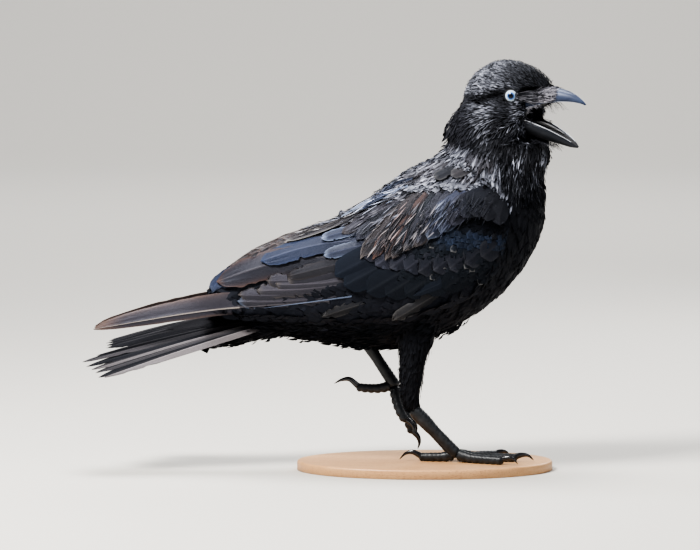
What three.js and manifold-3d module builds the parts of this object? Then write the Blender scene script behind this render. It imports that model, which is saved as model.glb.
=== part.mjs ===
// A life-size crow, caught in mid-stride on one leg with its bill open, on a flat display base.
// Millimetres. +X is the way the bird walks, +Y its left side, +Z up. The origin is the middle of the
// base's underside.
import * as THREE from "three";
import { mergeVertices } from "three/addons/utils/BufferGeometryUtils.js";
import Module from "manifold-3d";

const wasm = await Module();
wasm.setup();

// ---- Driving dimensions -------------------------------------------------------------------------
const GAP = 0.3; // air left between touching pieces
const BASE = { length: 210, width: 136, thickness: 8, edge: 1.5, segments: 40 };
const HEAD_TURN = -32; // degrees: the head looks to the bird's right
const HEAD_AT = { x: 58, y: 4 }; // the upright axis that the head turns about
const EYE = { forward: 24.4, side: 16.4, z: 300.9, radius: 6.3, rim: 5, outward: 68 };
const TOE_RADIUS = 3.4;
const RECTRICES = 12; // tail feathers
const TAIL = {
  rootX: -112,
  rootZ: 121,
  droop: 13.5, // degrees below the level
  roll: 12.5, // degrees: the right edge hangs lower
  length: 174,
  width: 25, // of one feather
  spread: 22, // degrees from edge to edge
  blade: 1.4,
};
const TAIL_UNDERSIDE = -4.2; // what lies below this, in the tail's own frame, is clear of the fan

const paint = (color, roughness) => new THREE.MeshStandardMaterial({ color, roughness, metalness: 0 });
const plumage = paint(0x15151a, 0.55);
const flightFeather = paint(0x23242c, 0.4);
const horn = paint(0x2b2e38, 0.3);
const mouthLining = paint(0x1b1216, 0.45);
const legScale = paint(0x17181a, 0.5);
const irisWhite = paint(0xe8f0f6, 0.15);
const paleWood = paint(0xc9a777, 0.55);

// ---- Lofts --------------------------------------------------------------------------------------
const point = (x, y, z) => new THREE.Vector3(x, y, z);
const radians = THREE.MathUtils.degToRad;

// One station of a loft: the top and the bottom of a section, and half its width.
function station([topX, topZ], [bottomX, bottomZ], half, topY = 0, bottomY = topY) {
  return { topX, topY, topZ, bottomX, bottomY, bottomZ, half };
}

// Catmull-Rom values between stations, so that a few of them make a smooth shape.
function resample(stations, count) {
  const last = stations.length - 1;
  const pick = (i, key) => stations[THREE.MathUtils.clamp(i, 0, last)][key];
  return Array.from({ length: count }, (_, i) => {
    const place = (i * last) / (count - 1);
    const k = Math.min(Math.floor(place), last - 1);
    const t = place - k;
    const between = (key) => {
      const [a, b, c, d] = [k - 1, k, k + 1, k + 2].map((j) => pick(j, key));
      return b + 0.5 * t * (c - a + t * (2 * a - 5 * b + 4 * c - d + t * (3 * (b - c) + d - a)));
    };
    return Object.fromEntries(Object.keys(stations[0]).map((key) => [key, between(key)]));
  });
}

// A closed mesh through rings that all have the same number of points.
function skinOver(rings) {
  const sides = rings[0].length;
  const points = rings.flat();
  const faces = [];
  const middle = (ring) => ring.reduce((sum, p) => sum.add(p), point(0, 0, 0)).divideScalar(sides);
  for (let r = 0; r + 1 < rings.length; r++) {
    for (let s = 0; s < sides; s++) {
      const [a, b] = [r * sides + s, r * sides + ((s + 1) % sides)];
      faces.push(a, b, b + sides, a, b + sides, a + sides);
    }
  }
  const first = points.length;
  const lastRing = (rings.length - 1) * sides;
  points.push(middle(rings[0]), middle(rings.at(-1)));
  for (let s = 0; s < sides; s++) {
    const next = (s + 1) % sides;
    faces.push(first, next, s, first + 1, lastRing + s, lastRing + next);
  }
  return facingOut(points, faces);
}

// The same faces, turned round if they enclose a negative volume.
function facingOut(points, faces) {
  let volume = 0;
  for (let i = 0; i < faces.length; i += 3) {
    const [a, b, c] = [points[faces[i]], points[faces[i + 1]], points[faces[i + 2]]];
    volume += a.dot(b.clone().cross(c));
  }
  if (volume < 0) faces.reverse();
  const geometry = new THREE.BufferGeometry().setFromPoints(points);
  return geometry.setIndex(faces);
}

// The outline of a section as [across, up] pairs of unit size: rounded, or for a bill a wall that arches
// over a hollow.
function sectionOutline(sides, squareness, arch) {
  const lap = (c) => Math.sign(c) * Math.abs(c) ** (2 / squareness);
  return Array.from({ length: sides }, (_, k) => {
    const turn = (2 * Math.PI * k) / sides;
    if (!arch) return [lap(Math.cos(turn)), lap(Math.sin(turn))];
    const half = sides / 2;
    const place = k < half ? k / (half - 1) : (k - half) / (half - 1);
    const c = Math.cos(Math.PI * place);
    if (k < half) return [c, 2 * Math.abs(Math.sin(Math.PI * place)) ** 0.85 - 1];
    return [-0.78 * c, 2 * arch * (1 - c * c) - 1];
  });
}

// A skin over sections between tops and bottoms. grow makes it larger all round, for cutting its
// neighbours.
function loft(stations, { sides = 18, rings = 14, squareness = 2.2, grow = 0, arch = 0 } = {}) {
  const sections = resample(stations, rings);
  const outline = sectionOutline(sides, squareness, arch);
  const tops = sections.map((s) => point(s.topX, s.topY, s.topZ));
  const bottoms = sections.map((s) => point(s.bottomX, s.bottomY, s.bottomZ));
  const middles = tops.map((t, i) => t.clone().add(bottoms[i]).divideScalar(2));
  return skinOver(
    sections.map((s, i) => {
      const upward = tops[i].clone().sub(bottoms[i]);
      const depth = upward.length() / 2 + grow;
      upward.normalize();
      const along = middles[Math.min(i + 1, rings - 1)].clone().sub(middles[Math.max(i - 1, 0)]);
      const sideways = upward.clone().cross(along).normalize();
      const shift = i === 0 ? -grow : i === rings - 1 ? grow : 0;
      const middle = middles[i].clone().addScaledVector(along.normalize(), shift);
      return outline.map(([across, up]) =>
        middle
          .clone()
          .addScaledVector(sideways, (s.half + grow) * across)
          .addScaledVector(upward, depth * up),
      );
    }),
  );
}

// A round, tapering tube through points; radii are interpolated along it. It never runs straight along Y.
function tube(points, radii, { sides = 8, rings = 8, grow = 0, flat = 1 } = {}) {
  const curve = new THREE.CatmullRomCurve3(points);
  const across = resample(radii.map((radius) => ({ radius })), rings);
  return skinOver(
    across.map(({ radius }, i) => {
      const t = i / (rings - 1);
      const along = curve.getTangent(t);
      const upward = along.clone().cross(point(0, 1, 0)).normalize();
      const sideways = upward.clone().cross(along);
      const shift = i === 0 ? -grow : i === rings - 1 ? grow : 0;
      const middle = curve.getPoint(t).addScaledVector(along, shift);
      return Array.from({ length: sides }, (_, k) => {
        const turn = (2 * Math.PI * (k + 0.5)) / sides;
        return middle
          .clone()
          .addScaledVector(sideways, (radius + grow) * Math.cos(turn))
          .addScaledVector(upward, (radius * flat + grow) * Math.sin(turn));
      });
    }),
  );
}

// ---- Solids -------------------------------------------------------------------------------------
function solid(geometry) {
  const bare = geometry.clone();
  ["normal", "uv"].forEach((name) => bare.deleteAttribute(name));
  const merged = mergeVertices(bare, 1e-4);
  return new wasm.Manifold(
    new wasm.Mesh({
      numProp: 3,
      vertProperties: new Float32Array(merged.attributes.position.array),
      triVerts: new Uint32Array(merged.index.array),
    }),
  );
}

function geometryOf(made) {
  const mesh = made.getMesh();
  return new THREE.BufferGeometry()
    .setAttribute("position", new THREE.BufferAttribute(new Float32Array(mesh.vertProperties), 3))
    .setIndex(new THREE.BufferAttribute(new Uint32Array(mesh.triVerts), 1));
}

const joined = (solids) => solids.reduce((a, b) => a.add(b));
const without = (made, ...cutters) => cutters.reduce((a, b) => a.subtract(b), made);
const turned = (geometry, matrix) => geometry.clone().applyMatrix4(matrix);

// A box from one corner to the opposite one.
function block(low, high) {
  const size = high.clone().sub(low);
  const middle = low.clone().add(high).divideScalar(2);
  return solid(new THREE.BoxGeometry(size.x, size.y, size.z).translate(middle.x, middle.y, middle.z));
}

// An outline in the XZ plane, carried from one Y to another.
function prism(outline, fromY, toY) {
  const shape = new THREE.Shape(outline.map(([x, z]) => new THREE.Vector2(x, z)));
  const geometry = new THREE.ExtrudeGeometry(shape, { depth: toY - fromY, bevelEnabled: false });
  return solid(geometry.rotateX(Math.PI / 2).translate(0, toY, 0));
}

// A solid joined with copies of itself moved every way by the gap, for cutting its neighbours.
function swollen(made) {
  const ways = [[1, 0, 0], [0, 1, 0], [0, 0, 1]].flatMap((way) => [way, way.map((c) => -c)]);
  return joined([made, ...ways.map((way) => made.translate(way.map((c) => c * GAP)))]);
}

// The largest piece, for dropping slivers that a cut leaves.
function mainBody(made) {
  return made.decompose().sort((a, b) => b.volume() - a.volume())[0];
}

// ---- Trunk and neck -----------------------------------------------------------------------------
const trunkStations = [
  station([-150, 134], [-150, 108], 12),
  station([-130, 148], [-122, 103], 25),
  station([-98, 167], [-84, 97], 35),
  station([-64, 187], [-44, 92], 43),
  station([-38, 211], [-6, 94], 49),
  station([-14, 235], [36, 115], 52),
  station([4, 247], [64, 137], 52.5),
  station([15, 254], [87, 167], 49),
  station([20, 261], [99, 198], 42),
  station([22, 270], [97, 228], 36),
  station([24, 279], [97, 248], 33),
];
const neckStations = [
  station([21, 262], [98, 224], 37, 0, 0),
  station([20.5, 268], [98, 238], 34.5, 0, -3),
  station([22.5, 277], [102, 248], 32, 0, -7),
  station([26, 287], [99, 259], 29, 0, -14),
  station([33, 298], [88, 272], 24, 0, -14),
  station([42, 306], [78, 285], 16, 0, -10),
];
const NECK_FROM = [[-40, 290], [140, 215]]; // the slanting cut between the trunk and the neck
const trunkCore = (grow = 0) => solid(loft(trunkStations, { rings: 16, grow }));
const neckCore = (grow = 0) => solid(loft(neckStations, { rings: 9, grow }));

// Everything above the neck's cut, moved up by offset.
function aboveNeckCut(offset) {
  const [[x0, z0], [x1, z1]] = NECK_FROM;
  return prism([[x0, z0 + offset], [x1, z1 + offset], [x1, 400], [x0, 400]], -100, 100);
}

// ---- Head ---------------------------------------------------------------------------------------
// Its stations are upright sections at distances in front of the axis it turns about.
const headStations = [
  station([-27.5, 298], [-27.5, 293.5], 2),
  station([-24.5, 308], [-24.5, 282], 12),
  station([-16, 319.5], [-16, 272.5], 19.5),
  station([-4, 327], [-4, 267], 24),
  station([8, 330], [8, 264.3], 25.5),
  station([20, 329], [20, 262.8], 25),
  station([32, 325.6], [32, 261.3], 22),
  station([42, 320.8], [42, 260], 17),
  station([50, 314.5], [50, 261], 12),
  station([55.5, 307.5], [54, 264], 8.5),
];
const gape = [35, 281]; // the corner of the mouth
// The mouth's opening runs along the upper bill's edge and back along the lower bill's.
const upperEdge = [[37, 287.7], [39.5, 292.4], [47.8, 295.2], [61.4, 297.8], [90, 299.5]];
const lowerEdge = [[90, 249.8], [65.6, 266.6], [55.3, 272.2], [43.9, 277]];
const billUpperStations = [
  station([38, 306.2], [38, 292.2], 10.6),
  station([46, 307.4], [46, 294.7], 10),
  station([54.6, 307.4], [54.6, 296.8], 8.4),
  station([64.6, 306], [64.6, 297.8], 6.2),
  station([73.8, 302.6], [73.8, 297.4], 4.2),
  station([80.6, 298.2], [79.9, 296], 2.3),
  station([84.4, 294.6], [83.6, 294], 0.5),
];
const billLowerStations = [
  station([36.5, 280.4], [33, 269.3], 11.6),
  station([46, 276], [42.2, 266.2], 10.8),
  station([55.3, 272], [51, 263.4], 9),
  station([65.6, 266.3], [62.4, 259.8], 6.4),
  station([73.7, 261.2], [71.6, 256.8], 3.6),
  station([78.8, 256.6], [78.2, 255.7], 0.6),
];
const tongueStations = [
  station([40, 280.2], [39.6, 278.6], 4),
  station([48, 278], [47.5, 275.8], 3.8),
  station([57, 274.2], [56.3, 272.2], 2.8),
  station([64, 270.2], [63.6, 269.4], 0.9),
];
const headMatrix = new THREE.Matrix4()
  .makeTranslation(HEAD_AT.x, HEAD_AT.y, 0)
  .multiply(new THREE.Matrix4().makeRotationZ(radians(HEAD_TURN)));
const inHead = (geometry) => solid(turned(geometry, headMatrix));

// A bill is hollow inside the mouth; grown for cutting, it is nearly full.
function billLoft(stations, grow) {
  return inHead(loft(stations, { sides: 14, rings: 9, arch: grow ? 0.02 : 0.3, grow }));
}
const upsideDown = (s) => station([s.bottomX, s.bottomZ], [s.topX, s.topZ], s.half);
const billUpper = (grow = 0) => billLoft(billUpperStations, grow);
const billLower = (grow = 0) => billLoft(billLowerStations.map(upsideDown), grow);

// The eyeball, and the round opening in front of it.
function eyeball(side, grow = 0) {
  const ball = new THREE.SphereGeometry(EYE.radius + grow, 14, 9);
  return ball.translate(EYE.forward, side * EYE.side, EYE.z);
}
function eyeOpening(side) {
  const depth = 14;
  const hole = new THREE.CylinderGeometry(EYE.rim + 2.2, EYE.rim, depth, 14);
  hole.translate(0, depth / 2 + 2.5, 0);
  hole.rotateX(side > 0 ? 0 : Math.PI).rotateZ(side * radians(EYE.outward - 90));
  return hole.translate(EYE.forward, side * EYE.side, EYE.z);
}

function headSolid() {
  const skull = inHead(loft(headStations));
  const mouth = [gape, ...upperEdge, ...lowerEdge];
  const cut = prism(mouth, -40, 40).transform(headMatrix.elements);
  const throat = new THREE.SphereGeometry(1, 10, 7).scale(13, 7.5, 5.5).translate(31, 0, 281.3);
  const sockets = [-1, 1].flatMap((side) => [inHead(eyeball(side, GAP)), inHead(eyeOpening(side))]);
  return mainBody(without(skull, cut, inHead(throat), billUpper(GAP), billLower(GAP), ...sockets));
}

// ---- Wings --------------------------------------------------------------------------------------
const WING_END = -182; // the primaries show alone behind this

// A smooth envelope round the trunk and both folded wings. A wing is the part of it inside the wing's
// side outline.
const wingEnvelope = [
  station([30, 262], [98, 176], 50),
  station([17, 258], [84, 150], 54.5),
  station([-6, 247], [50, 118], 57.5),
  station([-28, 231], [20, 100], 58),
  station([-48, 214], [-10, 94], 55.5),
  station([-76, 201], [-50, 92], 49),
  station([-111, 190], [-94, 95], 40),
  station([-146, 174], [-136, 98], 29),
  station([-172, 154], [-166, 102], 20),
  station([-190, 139], [-188, 108], 13),
];
const wingFrontEdge = [[21, 258], [50, 227], [67, 203], [65, 182], [60, 161], [44, 141], [12, 126]];
const wingLowerEdge = [[-26, 114.5], [-60, 113], [-92, 113.5], [-150, 117], [WING_END, 119]];
const wingBack = [[WING_END, 140], [-172, 155], [-148, 175], [-111, 191], [-76, 202], [-48, 215], [-28, 232]];
const wingOutline = [...wingFrontEdge, ...wingLowerEdge, ...wingBack, [-6, 248]];
const SHOULDER_CUT = [[10, 270], [-26, 105]]; // between the shoulder and the secondaries
const MANTLE = { front: 40, frontHalf: 30, back: -62 }; // the wedge of back that shows between the shoulders

// A thin upright slot along a slanting line, for parting one piece into two.
function slot([[x0, z0], [x1, z1]]) {
  const half = GAP / 2;
  return prism([[x0 - half, z0], [x0 + half, z0], [x1 + half, z1], [x1 - half, z1]], -100, 100);
}

function primaryBlade(side) {
  return loft(
    [
      station([-140, 146], [-128, 120], 1.6, side * 26.5, side * 31),
      station([-160, 141], [-152, 117.5], 1.7, side * 21.5, side * 27),
      station([-182, 138.5], [-180, 115.6], 1.6, side * 16.5, side * 22.5),
      station([-215, 131.6], [-215, 113], 1.4, side * 13, side * 18),
      station([-246, 124.6], [-245, 110.4], 1.2, side * 10.5, side * 14),
      station([-264, 116.6], [-262, 108.4], 0.9, side * 9, side * 11),
      station([-273, 107.6], [-272.4, 106.6], 0.4, side * 8, side * 8.5),
    ],
    { sides: 10, rings: 10 },
  );
}

// The wedge between the wings, wide at the neck and ending in a point.
function mantleWedge() {
  const { front, frontHalf, back } = MANTLE;
  const corners = [[back, 0], [front, -frontHalf], [front, frontHalf]].map((p) => new THREE.Vector2(...p));
  const wedge = new THREE.ExtrudeGeometry(new THREE.Shape(corners), { depth: 200, bevelEnabled: false });
  return solid(wedge.translate(0, 0, 120));
}

function wingPieces(side, ...neighbours) {
  const envelope = solid(loft(wingEnvelope));
  const inner = side < 0 ? [-90, -GAP] : [GAP, 90];
  const whole = envelope.intersect(prism(wingOutline, ...inner));
  const hollowed = without(whole, ...neighbours, mantleWedge(), slot(SHOULDER_CUT));
  const [[x0, z0], [x1, z1]] = SHOULDER_CUT;
  const front = prism([[x0, z0], [x1, z1], [120, z1], [120, z0]], ...inner);
  const aheadOfTips = block(point(WING_END - GAP, -90, 0), point(200, 90, 400));
  return {
    shoulder: mainBody(hollowed.intersect(front)),
    secondaries: mainBody(without(hollowed, front)),
    primaries: mainBody(without(solid(primaryBlade(side)), aheadOfTips, ...neighbours)),
  };
}

// ---- Tail ---------------------------------------------------------------------------------------
// One flat feather that points along -X from its root, with a rounded tip.
function featherBlade(length, width, thickness) {
  const half = width / 2;
  const shape = new THREE.Shape();
  shape.moveTo(0, -half * 0.35);
  shape.quadraticCurveTo(-length * 0.3, -half, -length * 0.62, -half);
  shape.bezierCurveTo(-length * 0.9, -half, -length * 0.98, -half * 0.55, -length, 0);
  shape.bezierCurveTo(-length * 0.98, half * 0.55, -length * 0.9, half, -length * 0.62, half);
  shape.quadraticCurveTo(-length * 0.3, half, 0, half * 0.35);
  return new THREE.ExtrudeGeometry(shape, { depth: thickness, bevelEnabled: false, curveSegments: 2 });
}

const tailMatrix = new THREE.Matrix4()
  .makeTranslation(TAIL.rootX, 0, TAIL.rootZ)
  .multiply(new THREE.Matrix4().makeRotationY(radians(-TAIL.droop)))
  .multiply(new THREE.Matrix4().makeRotationX(radians(TAIL.roll)));

// The rectrices fan out from one root; the middle pair lies on top and the outer ones are shorter.
function tailSolid() {
  const blades = Array.from({ length: RECTRICES }, (_, i) => {
    const place = (2 * i) / (RECTRICES - 1) - 1; // -1 at the right edge, +1 at the left
    const outward = Math.abs(place);
    const length = TAIL.length * (1 - 0.055 * outward ** 2);
    const blade = featherBlade(length, TAIL.width, TAIL.blade);
    blade.rotateX(radians(-place * 8));
    blade.rotateZ(radians((-place * TAIL.spread) / 2));
    return blade.translate(0, place * 6, -outward * 1.8 - TAIL.blade * (i % 2) * 0.2);
  });
  return joined(blades.map((blade) => solid(turned(blade, tailMatrix))));
}

function undertailSolid() {
  return solid(
    loft(
      [
        station([-128, 118], [-122, 101.5], 17),
        station([-145, 112], [-142, 97.5], 15),
        station([-163, 104.5], [-160, 93.5], 11),
        station([-186, 93.5], [-185, 90.6], 3),
      ],
      { sides: 14, rings: 8 },
    ),
  );
}

// Everything above the under side of the tail's fan.
function aboveTail() {
  const slab = new THREE.BoxGeometry(240, 120, 80).translate(-100, 0, 40 + TAIL_UNDERSIDE);
  return solid(turned(slab, tailMatrix));
}

// ---- Legs ---------------------------------------------------------------------------------------
// A toe runs from the foot through three points, and its claw arches and drops by so many millimetres.
const toe = (name, to, { claw, arch, drop }) => ({ name, to, claw, arch, drop });

// Both legs have the same parts; only the places of their joints differ.
const LEGS = {
  right: {
    thigh: [
      station([14, 126], [-30, 134], 17, -20),
      station([10, 108], [-25, 112], 15.5, -22),
      station([5, 93], [-23, 92], 13, -22),
      station([1.5, 82], [-23, 80], 11.2, -21),
      station([-1, 66], [-22.6, 63], 9.2, -19),
      station([-3, 52], [-20, 48], 7.2, -17.5),
      station([-3.4, 43], [-14.5, 39.5], 5, -16.6),
    ],
    ankle: point(-8.6, -16.8, 42.5),
    foot: point(25, -13, 6.6),
    thickness: 1,
    toes: [
      toe("outer", [[38, -22, 4], [52, -29, 3.6], [64, -34, 3.4]], { claw: 12, arch: 2.4, drop: 1.8 }),
      toe("middle", [[43, -14, 4.2], [60, -14, 3.7], [76, -14, 3.4]], { claw: 13, arch: 2.4, drop: 1.8 }),
      toe("inner", [[38, -5, 4], [50, 2, 3.6], [60, 7, 3.4]], { claw: 12, arch: 2.4, drop: 1.8 }),
      toe("hind", [[15, -12, 4], [4, -10.5, 3.6], [-5, -9, 3.4]], { claw: 16, arch: 4, drop: 1.8 }),
    ],
  },
  left: {
    thigh: [
      station([10, 124], [-26, 142], 17, 21),
      station([-6, 103], [-36, 134], 16, 24),
      station([-23, 90], [-46, 124], 14, 26),
      station([-40, 87], [-59, 114], 11, 25.5),
      station([-50.5, 91], [-63, 104], 7, 23),
    ],
    ankle: point(-53.5, 22.5, 103.5),
    foot: point(-25, 15, 60.5),
    thickness: 1.12,
    toes: [
      toe("outer", [[-21, 20, 49.5], [-16.5, 23, 38], [-12, 24.5, 28]], { claw: 12, arch: 2.8, drop: 1 }),
      toe("middle", [[-20, 14, 47], [-14.5, 13, 33], [-9.4, 12.5, 20]], { claw: 13, arch: 2.8, drop: 1 }),
      toe("inner", [[-23.5, 9, 49], [-20, 5, 39], [-15, 3, 31]], { claw: 12, arch: 2.8, drop: 1 }),
      toe("hind", [[-37, 15.5, 57.6], [-47, 16, 57.5], [-56.5, 16, 58.6]], { claw: 18, arch: 5.6, drop: -0.6 }),
    ],
  },
};

const toePath = (leg, { to }) => [leg.foot, ...to.map(([x, y, z]) => point(x, y, z))];

// A claw leaves the toe's end, arches over and hooks down. Behind and on the ground it arches up, and in
// front of a hanging foot it arches forward.
function clawSolid(leg, digit, grow) {
  const path = toePath(leg, digit);
  const end = path.at(-1);
  const along = end.clone().sub(path.at(-2)).normalize();
  const hangs = along.z < -0.5;
  const outward = hangs ? point(-along.z, 0, along.x) : point(0, 0, 1);
  const at = (reach, rise) => end.clone().addScaledVector(along, reach).addScaledVector(outward, rise);
  const { claw, arch, drop } = digit;
  const curve = [at(-1.5, 1), at(claw * 0.3, arch), at(claw * 0.68, arch * 0.75), at(claw, -drop)];
  return solid(tube(curve, [2.1, 2, 1.5, 0.35], { sides: 6, rings: 6, grow }));
}

function legPieces(name, ...neighbours) {
  const leg = LEGS[name];
  const shin = leg.foot.clone().sub(leg.ankle);
  const along = (share) => leg.ankle.clone().addScaledVector(shin, share);
  const shinPath = [-0.08, 0.1, 0.45, 0.8, 0.93].map(along);
  const tarsus = (grow) => solid(tube(shinPath, [4.4, 4.8, 4, 4.3, 4.4], { rings: 6, grow }));
  const thigh = (grow) => solid(loft(leg.thigh, { sides: 14, rings: 8, grow }));
  const radii = [1.26, 1, 0.95, 0.86].map((share) => share * TOE_RADIUS * leg.thickness);
  const section = { sides: 7, rings: 5, flat: 0.9 };
  const toes = leg.toes.map((digit) => solid(tube(toePath(leg, digit), radii, section)));
  const knuckle = solid(new THREE.SphereGeometry(5.2, 8, 6).translate(...leg.foot));
  const floor = block(point(-300, -200, -60), point(300, 200, GAP));
  const claws = leg.toes.map((digit) => clawSolid(leg, digit, 0));
  const clawCutters = leg.toes.map((digit) => clawSolid(leg, digit, GAP));
  const pieces = {
    thigh: mainBody(without(thigh(0), ...neighbours)),
    tarsus: mainBody(without(tarsus(0), ...neighbours, thigh(GAP))),
    foot: mainBody(without(joined([...toes, knuckle]), floor, tarsus(GAP), ...clawCutters)),
  };
  leg.toes.forEach((digit, i) => {
    pieces[`claw_${digit.name}`] = mainBody(without(claws[i], floor));
  });
  return pieces;
}

// ---- Base ---------------------------------------------------------------------------------------
// An oval board with a small chamfer round its top.
function baseGeometry() {
  const { length, width, thickness, edge, segments } = BASE;
  const inset = 1 - (2 * edge) / length;
  const profile = [[0, 0], [1, 0], [1, thickness - edge], [inset, thickness], [0, thickness]];
  const board = new THREE.LatheGeometry(profile.map((p) => new THREE.Vector2(...p)), segments);
  return board.rotateX(Math.PI / 2).scale(length / 2, width / 2, 1);
}

// ---- Assembly -----------------------------------------------------------------------------------
const bird = new THREE.Group();
bird.position.z = BASE.thickness;
const model = new THREE.Group();
model.add(bird);

function add(group, name, made, material) {
  const mesh = new THREE.Mesh(made.isBufferGeometry ? made : geometryOf(made), material);
  mesh.name = name;
  group.add(mesh);
}

const skullGrown = inHead(loft(headStations, { grow: GAP }));
const trunkGrown = trunkCore(GAP);
const neckGrown = neckCore(GAP);
const tail = without(tailSolid(), trunkGrown);
const tailGrown = swollen(tail);

add(model, "stand_base", baseGeometry(), paleWood);
const body = trunkCore().add(without(undertailSolid(), aboveTail()));
add(bird, "trunk", mainBody(without(body, aboveNeckCut(-GAP / 2), skullGrown)), plumage);
add(bird, "neck", mainBody(without(neckCore().intersect(aboveNeckCut(GAP / 2)), skullGrown)), plumage);
add(bird, "head", headSolid(), plumage);
add(bird, "bill_upper", billUpper(), horn);
add(bird, "bill_lower", billLower(), horn);
const tongue = inHead(loft(tongueStations, { sides: 10, rings: 6 }));
add(bird, "tongue", without(tongue, billLower(GAP)), mouthLining);
add(bird, "tail", mainBody(tail), flightFeather);
for (const [name, side] of [["right", -1], ["left", 1]]) {
  add(bird, `eye_${name}`, inHead(eyeball(side)), irisWhite);
  const wing = wingPieces(side, trunkGrown, neckGrown, skullGrown, tailGrown);
  for (const [part, made] of Object.entries(wing)) {
    add(bird, `wing_${name}_${part}`, made, part === "shoulder" ? plumage : flightFeather);
  }
  const leg = legPieces(name, trunkGrown, swollen(wing.shoulder), swollen(wing.secondaries));
  for (const [part, made] of Object.entries(leg)) {
    const material = part === "thigh" ? plumage : part.startsWith("claw") ? horn : legScale;
    add(bird, `${part}_${name}`, made, material);
  }
}

export default model;
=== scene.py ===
# %% [markdown]
# # A crow in full cry
# This lesson dresses the plain solids of a life-size crow: a skin under the coat, about twenty-six thousand
# feathers and bristles laid as real meshes, a horn bill, wet eyes, scaled legs and the beech board it stands on.
# The solids are a fixed frame. Everything here is placed round them and nothing of theirs is moved.

# %% Load the frame
import math

import bmesh
import bpy
import numpy as np
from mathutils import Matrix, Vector
from mathutils.bvhtree import BVHTree


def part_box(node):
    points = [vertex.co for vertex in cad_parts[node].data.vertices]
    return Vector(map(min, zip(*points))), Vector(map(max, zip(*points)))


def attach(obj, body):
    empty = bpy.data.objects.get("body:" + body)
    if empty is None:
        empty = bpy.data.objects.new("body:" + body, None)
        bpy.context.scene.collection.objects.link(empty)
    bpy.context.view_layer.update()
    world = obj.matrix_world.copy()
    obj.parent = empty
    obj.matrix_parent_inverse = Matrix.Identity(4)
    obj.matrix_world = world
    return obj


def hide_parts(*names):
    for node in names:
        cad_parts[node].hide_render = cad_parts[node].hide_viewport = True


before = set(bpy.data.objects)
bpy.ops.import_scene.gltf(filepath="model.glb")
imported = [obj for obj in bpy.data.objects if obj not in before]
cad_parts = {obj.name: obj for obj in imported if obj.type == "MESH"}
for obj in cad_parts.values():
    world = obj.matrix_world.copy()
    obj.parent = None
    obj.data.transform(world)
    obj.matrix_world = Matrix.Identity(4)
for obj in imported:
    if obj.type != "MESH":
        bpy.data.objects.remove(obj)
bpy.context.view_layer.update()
chance = np.random.default_rng(41)

# %% [markdown]
# ## Millimetres on the bird
# A feather is a thing of millimetres, so every shape below is worked out in millimetres from the top of the
# board, with +X the way the bird walks, +Y its left side and +Z up. Only the last step of making a mesh turns
# them into Blender's metres. The head has a frame of its own, because it is turned to the bird's right.

# %% Measures
BOARD_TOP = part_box("stand_base")[1].z
HEAD_TURN = math.radians(-32)
HEAD_AXIS = np.array([58.0, 4.0])
COS_TURN, SIN_TURN = math.cos(HEAD_TURN), math.sin(HEAD_TURN)
SIDES = ((-1, "right"), (1, "left"))  # the sign of Y, and the name


def to_metres(points):
    """Places on the bird, in millimetres, as places in the scene."""
    moved = np.asarray(points, float) / 1000
    moved[..., 2] += BOARD_TOP
    return moved


def to_millimetres(points):
    moved = np.array(points, float)
    moved[..., 2] -= BOARD_TOP
    return moved * 1000


def in_head(forward, left, up):
    """A place given along the bill, to the head's left and above the board, as a place on the bird."""
    forward, left = np.asarray(forward, float), np.asarray(left, float)
    x = HEAD_AXIS[0] + forward * COS_TURN - left * SIN_TURN
    y = HEAD_AXIS[1] + forward * SIN_TURN + left * COS_TURN
    return np.stack(np.broadcast_arrays(x, y, np.asarray(up, float)), axis=-1)


def head_places(points):
    """The same, the other way: how far forward, left and up each place is in the head's frame."""
    x, y = points[..., 0] - HEAD_AXIS[0], points[..., 1] - HEAD_AXIS[1]
    return x * COS_TURN + y * SIN_TURN, -x * SIN_TURN + y * COS_TURN, points[..., 2]


def unit(vectors):
    vectors = np.asarray(vectors, float)
    return vectors / np.maximum(np.linalg.norm(vectors, axis=-1, keepdims=True), 1e-9)


def head_way(forward, left, up):
    """A direction given in the head's frame, as one on the bird."""
    return unit(in_head(forward, left, up) - in_head(0, 0, 0))


def full_turn(count):
    return np.linspace(0, 2 * math.pi, count, endpoint=False)


def smooth(value, low, high):
    """0 below low, 1 above high, and an easy curve between."""
    share = np.clip((np.asarray(value, float) - low) / (high - low), 0, 1)
    return share * share * (3 - 2 * share)


print("board top at", round(BOARD_TOP, 4), "m")

# %% [markdown]
# ## Camera
# A long lens from four metres away, five degrees above the bird's level, as a field photographer lying in the
# grass would have it. A long lens keeps both sides of the bird at one scale.

# %% Camera
CAMERA_DISTANCE = 4.0
CAMERA_RISE = math.radians(5)
FRAME_WIDTH = 0.574
target = Vector((-0.0615, 0, 0.1605))
camera_data = bpy.data.cameras.new("camera")
camera_data.sensor_width = 36
camera_data.lens = 36 * CAMERA_DISTANCE / FRAME_WIDTH
camera = bpy.data.objects.new("camera", camera_data)
bpy.context.scene.collection.objects.link(camera)
camera.location = target + Vector((0, -math.cos(CAMERA_RISE), math.sin(CAMERA_RISE))) * CAMERA_DISTANCE
camera.rotation_euler = (math.pi / 2 - CAMERA_RISE, 0, 0)
bpy.context.scene.camera = camera
print("lens", round(camera_data.lens), "mm")

# %% [markdown]
# ## Floor and light
# A studio sweep: a pale floor that curves up into a backdrop, so that there is no horizon. The crow is black,
# and black shows its form only by what it reflects, so the lamps are large and soft. The key stands high on
# the side of the tail and gives the feathers their glints. One lamp is overhead, as an open sky would be, one
# fills from the front, and one skims the back.

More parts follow.
